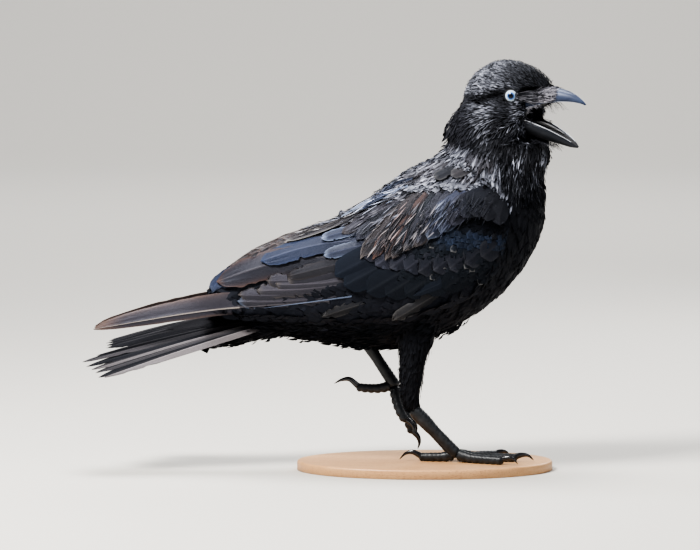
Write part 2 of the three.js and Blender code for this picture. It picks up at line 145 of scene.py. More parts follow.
# %% Sweep
def sweep_mesh(width=12.0, depth=6.2, rise=5.4, bend=2.4):
    """A floor from in front of the camera to the back, then a quarter circle, then a wall."""
    profile = [(-6.0, 0.0), (depth - bend, 0.0)]
    for i in range(1, 17):
        turn = math.pi / 2 * i / 16
        profile.append((depth - bend + bend * math.sin(turn), bend - bend * math.cos(turn)))
    profile.append((depth, rise))
    points = [(x, y, z) for y, z in profile for x in (-width / 2, width / 2)]
    faces = [(2 * i, 2 * i + 1, 2 * i + 3, 2 * i + 2) for i in range(len(profile) - 1)]
    mesh = bpy.data.meshes.new("sweep")
    mesh.from_pydata(points, [], faces)
    mesh.polygons.foreach_set("use_smooth", [True] * len(faces))
    return mesh


sweep = bpy.data.objects.new("sweep", sweep_mesh())
bpy.context.scene.collection.objects.link(sweep)
print("sweep ready")


# %% Lamps
def softbox(name, place, size, watts, tone=(1, 1, 1)):
    """A square lamp that faces the bird."""
    data = bpy.data.lights.new(name, "AREA")
    data.size = size
    data.energy = watts
    data.color = tone
    lamp = bpy.data.objects.new(name, data)
    bpy.context.scene.collection.objects.link(lamp)
    lamp.location = place
    aim = Vector((-0.05, 0, 0.17)) - lamp.location
    lamp.rotation_euler = aim.to_track_quat("-Z", "Y").to_euler()
    return lamp


softbox("key", (-0.75, -0.7, 1.35), 0.45, 42, (1.0, 0.98, 0.95))
softbox("overhead", (-0.1, 0.25, 1.5), 0.6, 20)
softbox("front_fill", (0.9, -1.5, 1.1), 0.8, 6, (0.94, 0.97, 1.0))
softbox("rim", (0.7, 1.2, 0.9), 0.6, 7)
softbox("backdrop", (0.0, 2.3, 2.9), 2.0, 115).rotation_euler = (math.radians(50), 0, 0)
world = bpy.data.worlds.new("room")
world.use_nodes = True
world.node_tree.nodes["Background"].inputs["Color"].default_value = (0.9, 0.93, 1.0, 1)
world.node_tree.nodes["Background"].inputs["Strength"].default_value = 0.32
bpy.context.scene.world = world
bpy.context.scene.view_settings.look = "AgX - High Contrast"
print("lamps:", [lamp.name for lamp in bpy.data.lights])

# %% [markdown]
# ## Materials
# A material is a tree of nodes. One helper adds a node, sets what is constant on its sockets and joins what
# varies, so that each recipe below reads as a list. Colours are the hex values that a paint chart would give,
# turned to linear light by one function.

# %% Material helpers
def linear(hex_colour):
    """A colour written as sRGB hex, in linear light with alpha 1."""
    parts = [int(hex_colour[i : i + 2], 16) / 255 for i in (1, 3, 5)]
    return (*(c / 12.92 if c <= 0.04045 else ((c + 0.055) / 1.055) ** 2.4 for c in parts), 1.0)


def add(tree, kind, settings=None, links=None):
    """Adds a node. settings go to its sockets, by name or number, or to the node itself. links join sockets, and
    a node in place of a socket stands for its first output."""
    made = tree.nodes.new(kind)
    for name, value in (settings or {}).items():
        if isinstance(name, int) or name in made.inputs:
            made.inputs[name].default_value = value
        else:
            setattr(made, name, value)
    for name, output in (links or {}).items():
        tree.links.new(getattr(output, "outputs", [output])[0], made.inputs[name])
    return made


def new_material(name, settings, build=None):
    """A Principled material; build(tree) gives the links for the sockets that vary."""
    made = bpy.data.materials.new(name)
    made.use_nodes = True
    tree = made.node_tree
    tree.nodes.clear()
    links = build(tree) if build else {}
    shader = add(tree, "ShaderNodeBsdfPrincipled", settings, links)
    add(tree, "ShaderNodeOutputMaterial", links={"Surface": shader})
    return made


def speckled(dark, light, scale, detail, strength, depth):
    """Links for skin or horn with one fine noise for both its colour and its relief. depth is in millimetres."""

    def build(tree):
        place = add(tree, "ShaderNodeTexCoord")
        specks = add(tree, "ShaderNodeTexNoise", {"Scale": scale, "Detail": detail},
                     {"Vector": place.outputs["Object"]})
        colour = add(tree, "ShaderNodeMix", {"data_type": "RGBA", "A": linear(dark), "B": linear(light)},
                     {"Factor": specks})
        bump = add(tree, "ShaderNodeBump", {"Strength": strength, "Distance": depth / 1000}, {"Height": specks})
        return {"Base Color": colour.outputs["Result"], "Normal": bump}

    return build


# %% [markdown]
# ### Plumage
# A crow's black is melanin in keratin. Its surface is ruled with barbs that leave the shaft at a slant, so a
# feather shines in soft bands with a blue or violet cast, and it bleaches to brown where it is old. The colour
# of each feather is worked out when its mesh is made and kept in an attribute, plume: its own colour, with
# painted shade and painted glints in it. A second attribute, vane, says how far across and along the feather a
# place is, and rules the barbs, and a third, gloss, is 1 where the vane is smooth and 0 where it is velvety. Real
# barbs are about 0.3 mm apart: here they are drawn 0.45 to 0.8 mm apart, in bundles, because finer ones would
# not show.

# %% Plumage materials
BARB_SLANT = 1.3
MATT = 0.9


def barbed(spacing, relief, roughness):
    """Links for a feather's colour, gloss and relief. spacing and relief are in millimetres."""

    def build(tree):
        plume = add(tree, "ShaderNodeAttribute", {"attribute_name": "plume"})
        gloss = add(tree, "ShaderNodeAttribute", {"attribute_name": "gloss"})
        vane = add(tree, "ShaderNodeAttribute", {"attribute_name": "vane"})
        parts = add(tree, "ShaderNodeSeparateXYZ", links={0: vane.outputs["Vector"]})
        across = add(tree, "ShaderNodeMath", {"operation": "ABSOLUTE"}, {0: parts.outputs["X"]})
        slant = add(tree, "ShaderNodeMath", {"operation": "MULTIPLY_ADD", 1: -BARB_SLANT},
                    {0: across, 2: parts.outputs["Y"]})
        phase = add(tree, "ShaderNodeMath", {"operation": "MULTIPLY", 1: 2 * math.pi / spacing}, {0: slant})
        ruled = add(tree, "ShaderNodeMath", {"operation": "SINE"}, {0: phase})
        clumps = add(tree, "ShaderNodeTexNoise", {"Scale": 0.7, "Detail": 4.0, "Roughness": 0.65},
                     {"Vector": vane.outputs["Vector"]})
        height = add(tree, "ShaderNodeMath", {"operation": "MULTIPLY_ADD", 1: 3.4},
                     {0: clumps, 2: ruled})
        shade = add(tree, "ShaderNodeMapRange", {1: 0.4, 2: 3.2, 3: 0.68, 4: 1.27}, {0: height})
        colour = add(tree, "ShaderNodeVectorMath", {"operation": "SCALE"},
                     {0: plume.outputs["Vector"], "Scale": shade})
        rough = add(tree, "ShaderNodeMapRange", {1: 0.0, 2: 1.0, 3: MATT, 4: roughness}, {0: gloss.outputs["Fac"]})
        bump = add(tree, "ShaderNodeBump", {"Strength": 0.6, "Distance": relief / 1000}, {"Height": height})
        return {"Base Color": colour, "Roughness": rough, "Normal": bump}

    return build


def plumage(name, roughness, tint, spacing, relief):
    settings = {"IOR": 1.56, "Specular Tint": linear(tint)}
    return new_material(name, settings, barbed(spacing, relief, roughness))


sweep.data.materials.append(new_material("matt_paint", {"Base Color": linear("#c4c1bb"), "Roughness": 0.9}))
plush = plumage("head_feather_keratin", 0.36, "#d6dae8", 0.45, 0.06)
hackle_gloss = plumage("hackle_keratin", 0.3, "#d8dbe8", 0.5, 0.07)
body_keratin = plumage("body_feather_keratin", 0.46, "#c4c9d8", 0.7, 0.1)
wing_gloss = plumage("covert_keratin", 0.4, "#c0c8e0", 0.8, 0.1)
quill_gloss = plumage("quill_keratin", 0.36, "#cfd4e6", 0.8, 0.1)
print("plumage materials made")

# %% [markdown]
# ## The form and the skin
# The solids of the trunk, neck, head, folded wings and thighs give the bird's outer form. They are joined,
# remeshed in small cubes and smoothed, which gives one seamless surface. The feathers are laid on that surface.
# Two soft pads are added at the corners of the mouth first, where the cheek bulges when the bill gapes. The
# skin is the same surface drawn in by the depth of the coat, so that between feathers only a dark floor shows.

# %% Form
FLESH = sorted(
    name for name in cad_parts
    if name.startswith(("trunk", "neck", "head", "thigh", "wing")) and not name.endswith("primaries")
)
FORM_CELL = 0.0019


def evaluated_mesh(piece):
    """The piece's mesh with its modifiers in it."""
    graph = bpy.context.evaluated_depsgraph_get()
    return bpy.data.meshes.new_from_object(piece.evaluated_get(graph))


def add_pad(together, forward, left, up, radii):
    """An egg of flesh in the head's frame."""
    made = bmesh.ops.create_icosphere(together, subdivisions=3, radius=1)
    for vertex in made["verts"]:
        x, y, z = vertex.co
        place = in_head(forward + x * radii[0], left + y * radii[1], up + z * radii[2])
        vertex.co = to_metres(place)


def joined_form():
    """One smooth closed mesh round all the flesh, and the eyes so that their sockets are closed."""
    together = bmesh.new()
    for name in [*FLESH, "eye_left", "eye_right"]:
        together.from_mesh(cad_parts[name].data)
    for side, _ in SIDES:
        add_pad(together, 31.5, side * 15.0, 285, (6.5, 5.2, 9))
    mesh = bpy.data.meshes.new("form")
    together.to_mesh(mesh)
    together.free()
    rough = bpy.data.objects.new("form", mesh)
    bpy.context.scene.collection.objects.link(rough)
    remesh = rough.modifiers.new("cells", "REMESH")
    remesh.mode = "VOXEL"
    remesh.voxel_size = FORM_CELL
    soften = rough.modifiers.new("soften", "SMOOTH")
    soften.factor = 0.5
    soften.iterations = 12
    made = evaluated_mesh(rough)
    bpy.data.objects.remove(rough)
    return made


def vertex_normals(points, triangles):
    corners = points[triangles]
    facing = np.cross(corners[:, 1] - corners[:, 0], corners[:, 2] - corners[:, 0])
    summed = np.zeros_like(points)
    for corner in range(3):
        np.add.at(summed, triangles[:, corner], facing)
    return unit(summed), 0.5 * np.linalg.norm(facing, axis=1)


form = joined_form()
form.calc_loop_triangles()
form_points = np.empty(len(form.vertices) * 3)
form.vertices.foreach_get("co", form_points)
form_points = to_millimetres(form_points.reshape(-1, 3))
form_triangles = np.empty(len(form.loop_triangles) * 3, int)
form.loop_triangles.foreach_get("vertices", form_triangles)
form_triangles = form_triangles.reshape(-1, 3)
form_normals, _ = vertex_normals(form_points, form_triangles)
print("form:", len(form_points), "points")

# %% [markdown]
# The bill is lofted through sections, given here because the face is seated on them: the flesh of the jaws has
# to lie inside the horn. Each half is widest at its cutting edge and narrows towards its ridge.

# %% Sections of the bill
UPPER_SECTIONS = [  # top (forward, up), bottom (forward, up), half width
    ((34, 305.6), (34, 290.4), 12.4), ((42, 307.2), (42, 292.9), 11.4), ((54.6, 307.6), (54.6, 295.8), 8.8),
    ((64.6, 306), (64.6, 296.6), 6.6), ((73.8, 302.8), (73.8, 296.4), 4.4), ((80.6, 298.4), (79.9, 295.4), 2.5),
    ((84.6, 294.6), (83.6, 293.8), 0.5),
]
LOWER_SECTIONS = [
    ((33, 281.6), (32, 268.6), 13.6), ((45, 277.6), (42.2, 266.0), 12.0), ((55.3, 273.4), (51, 263.8), 9.4),
    ((65.2, 268.4), (62.0, 261.3), 6.6), ((72.6, 264.0), (70.6, 259.4), 3.8), ((77.6, 260.2), (76.8, 259.0), 0.6),
]


def horn_half_width(sections, forward, up, upward):
    """Half the horn's width at a height, from the cutting edge to the ridge."""
    tops, bottoms = (np.array([row[i] for row in sections], float) for i in (0, 1))
    top, bottom = np.interp(forward, *tops.T), np.interp(forward, *bottoms.T)
    half = np.interp(forward, tops[:, 0], [row[2] for row in sections])
    share = (up - bottom) / (top - bottom)
    share = np.clip(share if upward else 1 - share, 0, 1)
    return half * (1 - share**2.5) ** 0.425


def draw_jaws_in(points):
    """Moves the jaws' flesh to just inside the horn, where horn will cover it."""
    forward, left, up = head_places(points)
    upper = smooth(forward, 33, 39) * smooth(up, 288, 292) * (1 - smooth(up, 304.5, 308))
    lower = smooth(forward, 32, 37) * smooth(up, 262, 266) * (1 - smooth(up, 280, 284))
    for share, sections, upward in ((upper, UPPER_SECTIONS, True), (lower, LOWER_SECTIONS, False)):
        inside = np.maximum(horn_half_width(sections, forward, up, upward) - 1.0, 1.0)
        narrow = np.sign(left) * np.minimum(np.abs(left), inside)
        left = left + (narrow - left) * share
    return in_head(forward, left, up)


form_points = draw_jaws_in(form_points)
print("jaws drawn in")

# %% [markdown]
# Feathers of the head lie in tracts, and between tracts the coat sinks. Behind the eye a groove runs back under
# the swell of the crown, and another parts the jaw from the throat. They are pressed into the form here, each
# along a line in the head's frame, so that both the skin and the feathers follow them.

# %% Grooves and swells of the head
GROOVES = [  # a line of (forward, up), how deep it is pressed in (less than 0 swells), how wide
    ([(18, 301.8), (11, 299.8), (2, 297.8), (-9, 297)], 2.4, 1.7),
    ([(14, 307.5), (4, 305.5), (-8, 304.5)], -1.2, 4.0),
    ([(14, 266.5), (23, 269), (37, 268.5), (50, 263)], 2.6, 2.6),
    ([(11, 268.6), (21, 274), (30, 278)], -1.3, 1.6),
]


def distance_to_line(points, line):
    """How far each flat place is from a bent line."""
    line = np.array(line, float)
    nearest = np.full(len(points), np.inf)
    for start, end in zip(line, line[1:]):
        way = end - start
        share = np.clip(((points - start) @ way) / (way @ way), 0, 1)
        nearest = np.minimum(nearest, np.linalg.norm(points - start - share[:, None] * way, axis=1))
    return nearest


head_forward, head_left, head_up = head_places(form_points)
flat = np.stack([head_forward, head_up], axis=1)
on_side = smooth(np.abs(head_left), 6, 12) * smooth(head_up, 255, 265)
for line, depth, width in GROOVES:
    press = depth * np.exp(-((distance_to_line(flat, line) / width) ** 2)) * on_side
    press = press * (1 - smooth(head_forward, 32, 38))
    form_points -= form_normals * press[:, None]
nape = np.exp(-(((form_points[:, 2] - 268) / 17) ** 2)) * (1 - smooth(form_points[:, 0], 30, 44))
form_points += form_normals * (2.4 * nape)[:, None]
form_normals, form_areas = vertex_normals(form_points, form_triangles)
print("form:", round(form_areas.sum() / 100), "cm2")

# %% [markdown]
# Each small triangle of the form belongs to the solid that it is nearest to. That tells a feather whether it
# grows on the head, the neck, the trunk, a wing or a thigh.

# %% Regions of the form
REGIONS = ["head", "neck", "trunk", "shoulder", "secondaries", "thigh"]


def region_of(name):
    return next(i for i, region in enumerate(REGIONS) if region in name)


def region_trees():
    trees = []
    for name in FLESH:
        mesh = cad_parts[name].data
        mesh.calc_loop_triangles()
        points = to_millimetres([v.co for v in mesh.vertices]).tolist()
        trees.append((region_of(name), BVHTree.FromPolygons(points, [t.vertices for t in mesh.loop_triangles])))
    return trees


def label_triangles(centres):
    trees = region_trees()
    labels = np.zeros(len(centres), int)
    for i, centre in enumerate(centres):
        place = Vector(centre)
        labels[i] = min((tree.find_nearest(place)[3], region) for region, tree in trees)[1]
    return labels


form_regions = label_triangles(form_points[form_triangles].mean(axis=1))
print({region: int((form_regions == i).sum()) for i, region in enumerate(REGIONS)})

# %% [markdown]
# The solids have the size of the whole bird, coat and all. So the form sinks by the thickness of the feathers
# that will lie on it, most under the wing, where they lie many deep.

# %% Sink the form
COAT_SEAT = {"head": 1.1, "neck": 2.2, "trunk": 2.2, "shoulder": 3.0, "secondaries": 3.6, "thigh": 1.6}


def share_to_points(values):
    """The mean of what the triangles round each point hold."""
    total, count = np.zeros(len(form_points)), np.zeros(len(form_points))
    for corner in range(3):
        np.add.at(total, form_triangles[:, corner], values)
        np.add.at(count, form_triangles[:, corner], 1)
    return total / np.maximum(count, 1)


plain_tree = BVHTree.FromPolygons(form_points.tolist(), form_triangles.tolist())
RIDGE_X, RIDGE_Z = [-150, -80, -45, -10, 20, 40], [160, 200, 214, 241, 256, 262]  # the outline of the back


def room_inside(depth=5.4):
    """The share of the sinking that each place can take: less along the thin ridge of the back and wings."""
    room = np.ones(len(form_points))
    x, z = form_points[:, 0], form_points[:, 2]
    for i in np.flatnonzero((z > 172 + 0.42 * (x + 80)) & (z < 262) & (x < 40)):
        inner = [form_points[i] - form_normals[i] * depth * share for share in (0.3, 0.6, 0.9)]
        deepest = max(plain_tree.find_nearest(Vector(place))[3] for place in inner)
        room[i] = min(deepest / (0.9 * depth), 1) ** 1.5
    for _ in range(4):
        room = share_to_points(room[form_triangles].mean(axis=1))
    below = z - np.interp(x, RIDGE_X, RIDGE_Z)
    return room * (1 - 0.55 * smooth(below, -11, -2) * (x > -70) * (1 - smooth(x, 25, 45)))


room = room_inside()
seat = np.array([COAT_SEAT[region] for region in REGIONS])[form_regions]
before = smooth(form_points[form_triangles].mean(axis=1)[:, 0], 25, 75)
seat = seat * (1 - 0.55 * before * (seat > COAT_SEAT["head"]) * (seat < COAT_SEAT["shoulder"]))
for _ in range(8):
    seat = share_to_points(seat)[form_triangles].mean(axis=1)
form_points = draw_jaws_in(form_points - form_normals * (share_to_points(seat) * room)[:, None])
form_normals, form_areas = vertex_normals(form_points, form_triangles)
form_centres = form_points[form_triangles].mean(axis=1)
form_tree = BVHTree.FromPolygons(form_points.tolist(), form_triangles.tolist())
print("form after sinking:", round(form_areas.sum() / 100), "cm2")

# %% Skin
EYE_FORWARD, EYE_SIDE, EYE_UP = 24.4, 16.4, 300.9
EYE_RADIUS = 6.3
EYE_OUTWARD = math.radians(68)


def eye_frame(side):
    """The eyeball's middle, the way it looks, and two directions square to that."""
    middle = in_head(EYE_FORWARD, side * EYE_SIDE, EYE_UP)
    look = head_way(math.cos(EYE_OUTWARD), side * math.sin(EYE_OUTWARD), 0)
    level = unit(np.cross([0, 0, 1], look))
    return middle, look, level, np.cross(look, level)


def from_eye_axis(points, side):
    """How far places are from the line along which the eye looks, where they are on its side of the head."""
    middle, look, _, _ = eye_frame(side)
    apart = points - middle
    depth = apart @ look
    return np.where(depth > -2, np.linalg.norm(apart - depth[:, None] * look, axis=1), np.inf)


def coat_depth(points):
    """How far the skin lies under the coat: thin on the face, thick on the breast, and open at the eyes."""
    on_head = smooth(points[:, 2], 262, 285)
    depth = 1.0 * on_head + 1.8 * (1 - on_head)
    for side in (-1, 1):
        depth = depth + 4.0 * (1 - smooth(from_eye_axis(points, side), 5.6, 7.0))
    return depth


# Dark downy skin, matt, with pores about a millimetre apart.
down_skin = new_material("downy_skin", {"Roughness": 0.85, "Specular IOR Level": 0.15},
                         speckled("#050506", "#0e0e11", 900.0, 2.0, 0.4, 0.3))


def finish_piece(name, mesh, material=None, replaces=()):
    """Makes a piece of a mesh, lets it ride on the one body, and hides the solids that it stands for."""
    piece = bpy.data.objects.new(name, mesh)
    bpy.context.scene.collection.objects.link(piece)
    if material:
        mesh.materials.append(material)
    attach(piece, "root")
    if replaces:
        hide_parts(*replaces)
    return piece


skin_mesh = form.copy()
skin_mesh.name = "skin"
skin_points = draw_jaws_in(form_points - form_normals * (coat_depth(form_points) * room)[:, None])
skin_mesh.vertices.foreach_set("co", to_metres(skin_points).ravel())
skin_mesh.polygons.foreach_set("use_smooth", [True] * len(skin_mesh.polygons))
skin = finish_piece("skin", skin_mesh, down_skin, FLESH)


def unwrap(piece):
    """Lays the piece's surface out flat, by the directions its parts face."""
    bpy.context.view_layer.objects.active = piece
    piece.select_set(True)
    bpy.ops.object.mode_set(mode="EDIT")
    bpy.ops.mesh.select_all(action="SELECT")
    bpy.ops.uv.smart_project(angle_limit=math.radians(66), island_margin=0.002)
    bpy.ops.object.mode_set(mode="OBJECT")
    piece.select_set(False)


unwrap(skin)
skin_mesh.calc_loop_triangles()
skin_uv = np.empty(len(skin_mesh.loops) * 2)
skin_mesh.uv_layers[0].data.foreach_get("uv", skin_uv)
skin_uv = skin_uv.reshape(-1, 2)
skin_loops = np.empty(len(skin_mesh.loop_triangles) * 3, int)
skin_mesh.loop_triangles.foreach_get("loops", skin_loops)
skin_uv = skin_uv[skin_loops.reshape(-1, 3)]
print("skin:", len(skin_mesh.polygons), "faces")

# %% [markdown]
# ## Laying feathers
# A feather starts at its root, follows the surface the way the coat lies, and lifts a little towards its tip, so
# that it rests on the roots of the next ones. Its vane is a small grid: rows along it and columns across it. A
# sheaf gathers many feathers into one mesh, with the colour and vane attributes and a map named OFBake. On that
# map each feather is a small patch at its root's place on the skin's unwrap.

# %% Paths over the form
PATCH, BIG_PATCH = 0.003, 0.01  # how wide a small and a big feather are on the map


def rooted(place):
    """The spot on the form nearest to a root."""
    spot, _, index, _ = form_tree.find_nearest(Vector(place))
    return spot, index


def trail(start, heading, length, rows, tree=form_tree):
    """Places, normals and headings along a surface from start."""
    step = length / (rows - 1)
    place, normal, _, _ = tree.find_nearest(Vector(start))
    heading = Vector(heading)
    places, normals, headings = [], [], []
    for _ in range(rows):
        heading = (heading - normal * heading.dot(normal)).normalized()
        places.append(place[:])
        normals.append(normal[:])
        headings.append(heading[:])
        place, normal, _, _ = tree.find_nearest(place + heading * step)
    return np.array(places), np.array(normals), np.array(headings), rooted(start)


def root_on_map(root):
    """Where a place on the form is on the skin's unwrap."""
    place, index = root
    a, b, c = form_points[form_triangles[index]]
    weights = np.array([1 / max(np.linalg.norm(np.array(place) - corner), 0.05) for corner in (a, b, c)])
    return (skin_uv[index] * (weights / weights.sum())[:, None]).sum(axis=0)


def smoothed(values, rounds):
    for _ in range(rounds):
        inner = (values[:-2] + 2 * values[1:-1] + values[2:]) / 4
        values = np.concatenate([values[:1], inner, values[-1:]])
    return values


# %% Outlines of a vane
def taper(t, start, power):
    """1 up to start, then down to 0 at the tip along a rounded curve."""
    return np.sqrt(np.clip(1 - np.clip((t - start) / (1 - start), 0, 1) ** power, 0, 1))


def vane_width(t, shape):
    """Half the vane's width along the feather, as a share of its widest place."""
    if shape == "pointed":
        return np.clip((t / 0.35) ** 0.6, 0.3, 1) * taper(t, 0.3, 1.5)
    if shape == "blade":
        return (0.5 + 0.5 * smooth(t, 0, 0.3)) * (1 - 0.25 * smooth(t, 0.45, 0.9)) * taper(t, 0.72, 1.7)
    if shape == "blunt":
        return (0.5 + 0.5 * smooth(t, 0, 0.3)) * taper(t, 0.86, 2.4)
    if shape == "scale":
        return (0.55 + 0.45 * smooth(t, 0, 0.3)) * taper(t, 0.7, 2.4)
    if shape == "hair":
        return 1 - 0.8 * t
    return (0.4 + 0.6 * smooth(t, 0, 0.45)) * taper(t, 0.58, 2.1)


# %% Sheaf
class Sheaf:
    """Feathers that become one mesh."""

    def __init__(self, name):
        self.name = name
        self.points, self.faces, self.plume, self.vane, self.gloss, self.map = [], [], [], [], [], []
        self.count = 0
        self.feathers = 0

    def add(self, grid, plume, vane, gloss, spot, patch=PATCH):
        rows, columns = grid.shape[:2]
        index = self.count + np.arange(rows * columns).reshape(rows, columns)
        quads = np.stack([index[:-1, :-1], index[:-1, 1:], index[1:, 1:], index[1:, :-1]], axis=-1)
        self.points.append(grid.reshape(-1, 3))
        self.faces.append(quads.reshape(-1, 4))
        self.plume.append(plume.reshape(-1, 3))
        self.vane.append(vane.reshape(-1, 3))
        self.gloss.append(gloss.reshape(-1))
        u, v = np.meshgrid(np.linspace(-0.5, 0.5, columns), np.linspace(-0.5, 0.5, rows))
        spot = np.clip(spot, patch, 1 - patch)
        self.map.append((spot + np.stack([u, v], axis=-1) * patch).reshape(-1, 2))
        self.count += rows * columns
        self.feathers += 1

    def build(self, material, slot, replaces=()):
        points = to_metres(np.concatenate(self.points))
        faces = np.concatenate(self.faces)
        mesh = bpy.data.meshes.new(self.name)
        mesh.vertices.add(len(points))
        mesh.vertices.foreach_set("co", points.ravel())
        mesh.loops.add(faces.size)
        mesh.loops.foreach_set("vertex_index", faces.ravel())
        mesh.polygons.add(len(faces))
        mesh.polygons.foreach_set("loop_start", np.arange(0, faces.size, 4))
        mesh.polygons.foreach_set("use_smooth", np.ones(len(faces), bool))
        plume = mesh.attributes.new("plume", "FLOAT_VECTOR", "POINT")
        plume.data.foreach_set("vector", np.concatenate(self.plume).ravel())
        vane = mesh.attributes.new("vane", "FLOAT_VECTOR", "POINT")
        vane.data.foreach_set("vector", np.concatenate(self.vane).ravel())
        gloss = mesh.attributes.new("gloss", "FLOAT", "POINT")
        gloss.data.foreach_set("value", np.concatenate(self.gloss))
        layer = mesh.uv_layers.new(name="OFBake")
        layer.data.foreach_set("uv", np.concatenate(self.map)[faces.ravel()].ravel())
        mesh.validate()
        mesh.update()
        made = finish_piece(self.name, mesh, material, replaces)
        print(self.name, self.feathers, "feathers,", 2 * len(faces), "triangles")
        return made


# %% [markdown]
# ### One feather
# The vane is widest where its outline says, bends down a little to both sides of the shaft, and its edge is
# uneven, because barbs part and wear. Its root is dark, since it lies in the shade of the feathers before it,
# and its rim may be worn to another colour. On a big feather the shaft stands proud and is paler.

# %% Lay one feather
def split_barbs(across, splits):
    """Pulls the rim in at a few places, where barbs have parted."""
    rows, columns = across.shape
    for _ in range(splits):
        side = columns - 1 if chance.random() < 0.5 else 0
        row = chance.integers(rows // 3, rows - 1)
        across[row, side] *= chance.uniform(0.5, 0.85)
    return across


def feather_colour(plume, edge, t, u, shade, shaft, length):
    """The colour over one vane: painted shade at its root, worn at its rim, pale along the shaft."""
    colour = np.broadcast_to(np.asarray(plume, float), (len(t), len(u), 3)).copy()
    if edge is not None:
        tip = smooth(t, 1 - min(0.18, 6 / length), 1.0)[:, None]
        rim = np.maximum(np.abs(u)[None, :] ** 5 * 0.9, tip) * smooth(t, 0.25, 0.6)[:, None]
        colour += (np.asarray(edge, float) - colour) * rim[..., None]
    colour *= (1 - shade + shade * smooth(t, 0.05, 0.75))[:, None, None]
    if shaft:
        on_shaft = (np.abs(u) < 0.04)[None, :, None]
        colour = np.where(on_shaft, colour * 1.8 + np.array([0.035, 0.032, 0.03]) * shaft, colour)
    return colour


def lay(sheaf, path, length, width, plume, columns=3, shape="round", lift=(-0.3, 1.6), camber=0.12,
        ragged=0.08, edge=None, patch=PATCH, shaft=0.0, splits=0, uneven=0.0, roof=0.0, shade=0.6, curl=1.2,
        gloss=1.0, shaded_side=0, wavy=0.0):
    """Lays one feather along a path of places, normals and headings."""
    places, normals, headings, root = path
    rows = len(places)
    t, u = np.linspace(0, 1, rows), np.linspace(-1, 1, columns)
    if shaft:
        u = np.sign(u) * np.abs(u) ** 1.25
    sideways = unit(np.cross(normals, headings))
    half = vane_width(t, shape) * width / 2
    half[-1] = max(half[-1], 0.1 * width / 2)
    across = split_barbs(half[:, None] * u[None, :] * (1 + uneven * np.sign(u))[None, :], splits)
    if wavy:
        across[:, [0, -1]] *= 1 - wavy * chance.random((rows, 2))
    rise = lift[0] + (lift[1] - lift[0]) * t[:, None] ** curl
    rise = rise - camber * across**2 / max(width, 1) * 2 - roof * np.abs(across)
    if shaft:
        rise = rise + 0.35 * shaft * (np.abs(u) < 0.04)[None, :] * (1 - 0.6 * t[:, None])
    grid = places[:, None, :] + sideways[:, None, :] * across[..., None] + normals[:, None, :] * rise[..., None]
    reach = chance.uniform(-1, 0.3, columns) * ragged * length - 0.35 * np.abs(u) ** 2 * ragged * length
    grid += headings[:, None, :] * (smooth(t, 0.5, 1.0)[:, None] * reach[None, :])[..., None]
    along = np.broadcast_to((t * length)[:, None], across.shape)
    vane = np.stack([across, along, np.full(across.shape, chance.uniform(0, 50))], axis=-1)
    colour = feather_colour(plume, edge, t, u, shade, shaft, length)
    shine = np.full(across.shape, gloss, float)
    # Painted shade: the half of the vane that lies under the next feather is painted darker and duller.
    if shaded_side:
        shaded_half = (u * shaded_side > 0.06)[None, :]
        colour = np.where(shaded_half[..., None], colour * 0.3, colour)
        shine = np.where(shaded_half, 0.1 * gloss, shine)
    sheaf.add(grid, colour, vane, shine, root_on_map(root), patch)


print("feather tools ready")

# %% [markdown]
# ### The lie of the coat
# Feathers point away from the bill on the head, down the neck and breast, and back along the belly, back and
# wings. A few guides in the bird's side view hold these directions, and a place takes a blend of those near it.

# %% Lie of the coat
LIE = [  # x, z of a place in the side view, and the way the coat lies there
    ((98, 225), (-0.05, -1.0)),
    ((100, 190), (-0.08, -1.0)),
    ((80, 150), (-0.5, -0.87)),
    ((50, 120), (-0.82, -0.57)),
    ((10, 100), (-1.0, -0.12)),
    ((-60, 95), (-1.0, 0.02)),
    ((-140, 100), (-0.98, -0.2)),
    ((22, 285), (-0.3, -0.95)),
    ((28, 262), (-0.5, -0.86)),
    ((0, 247), (-0.8, -0.6)),
    ((-50, 212), (-0.9, -0.42)),
    ((-100, 190), (-0.9, -0.42)),
    ((-150, 155), (-0.85, -0.5)),
    ((62, 250), (-0.18, -0.98)),
    ((60, 215), (-0.45, -0.9)),
    ((35, 200), (-0.7, -0.7)),
    ((-30, 165), (-0.9, -0.43)),
    ((-90, 130), (-0.97, -0.22)),
]
LIE_PLACES = np.array([place for place, _ in LIE], float)
LIE_WAYS = unit([(x, 0, z) for _, (x, z) in LIE])


def body_heading(place):
    gap = np.linalg.norm(LIE_PLACES - (place[0], place[2]), axis=1)
    weight = 1 / (gap + 4) ** 3
    return unit((LIE_WAYS * weight[:, None]).sum(axis=0))


def head_heading(place):
    """Away from the base of the bill, and sinking behind the cheek."""
    forward, left, up = head_places(np.asarray(place))
    away = np.array([forward - 52, left * 0.7, (up - 292) * 0.5 - 9 * smooth(14 - forward, 0, 30)])
    return head_way(*away)


def heading_at(place, region):
    if REGIONS[region] == "thigh":
        return unit([-0.25, 0, -1.0]) if place[1] < 0 else unit([-0.75, 0, -0.65])
    share = smooth(place[2], 266, 292)
    if REGIONS[region] == "head":
        share = max(share, 0.5)
    return unit(head_heading(place) * share + body_heading(place) * (1 - share))


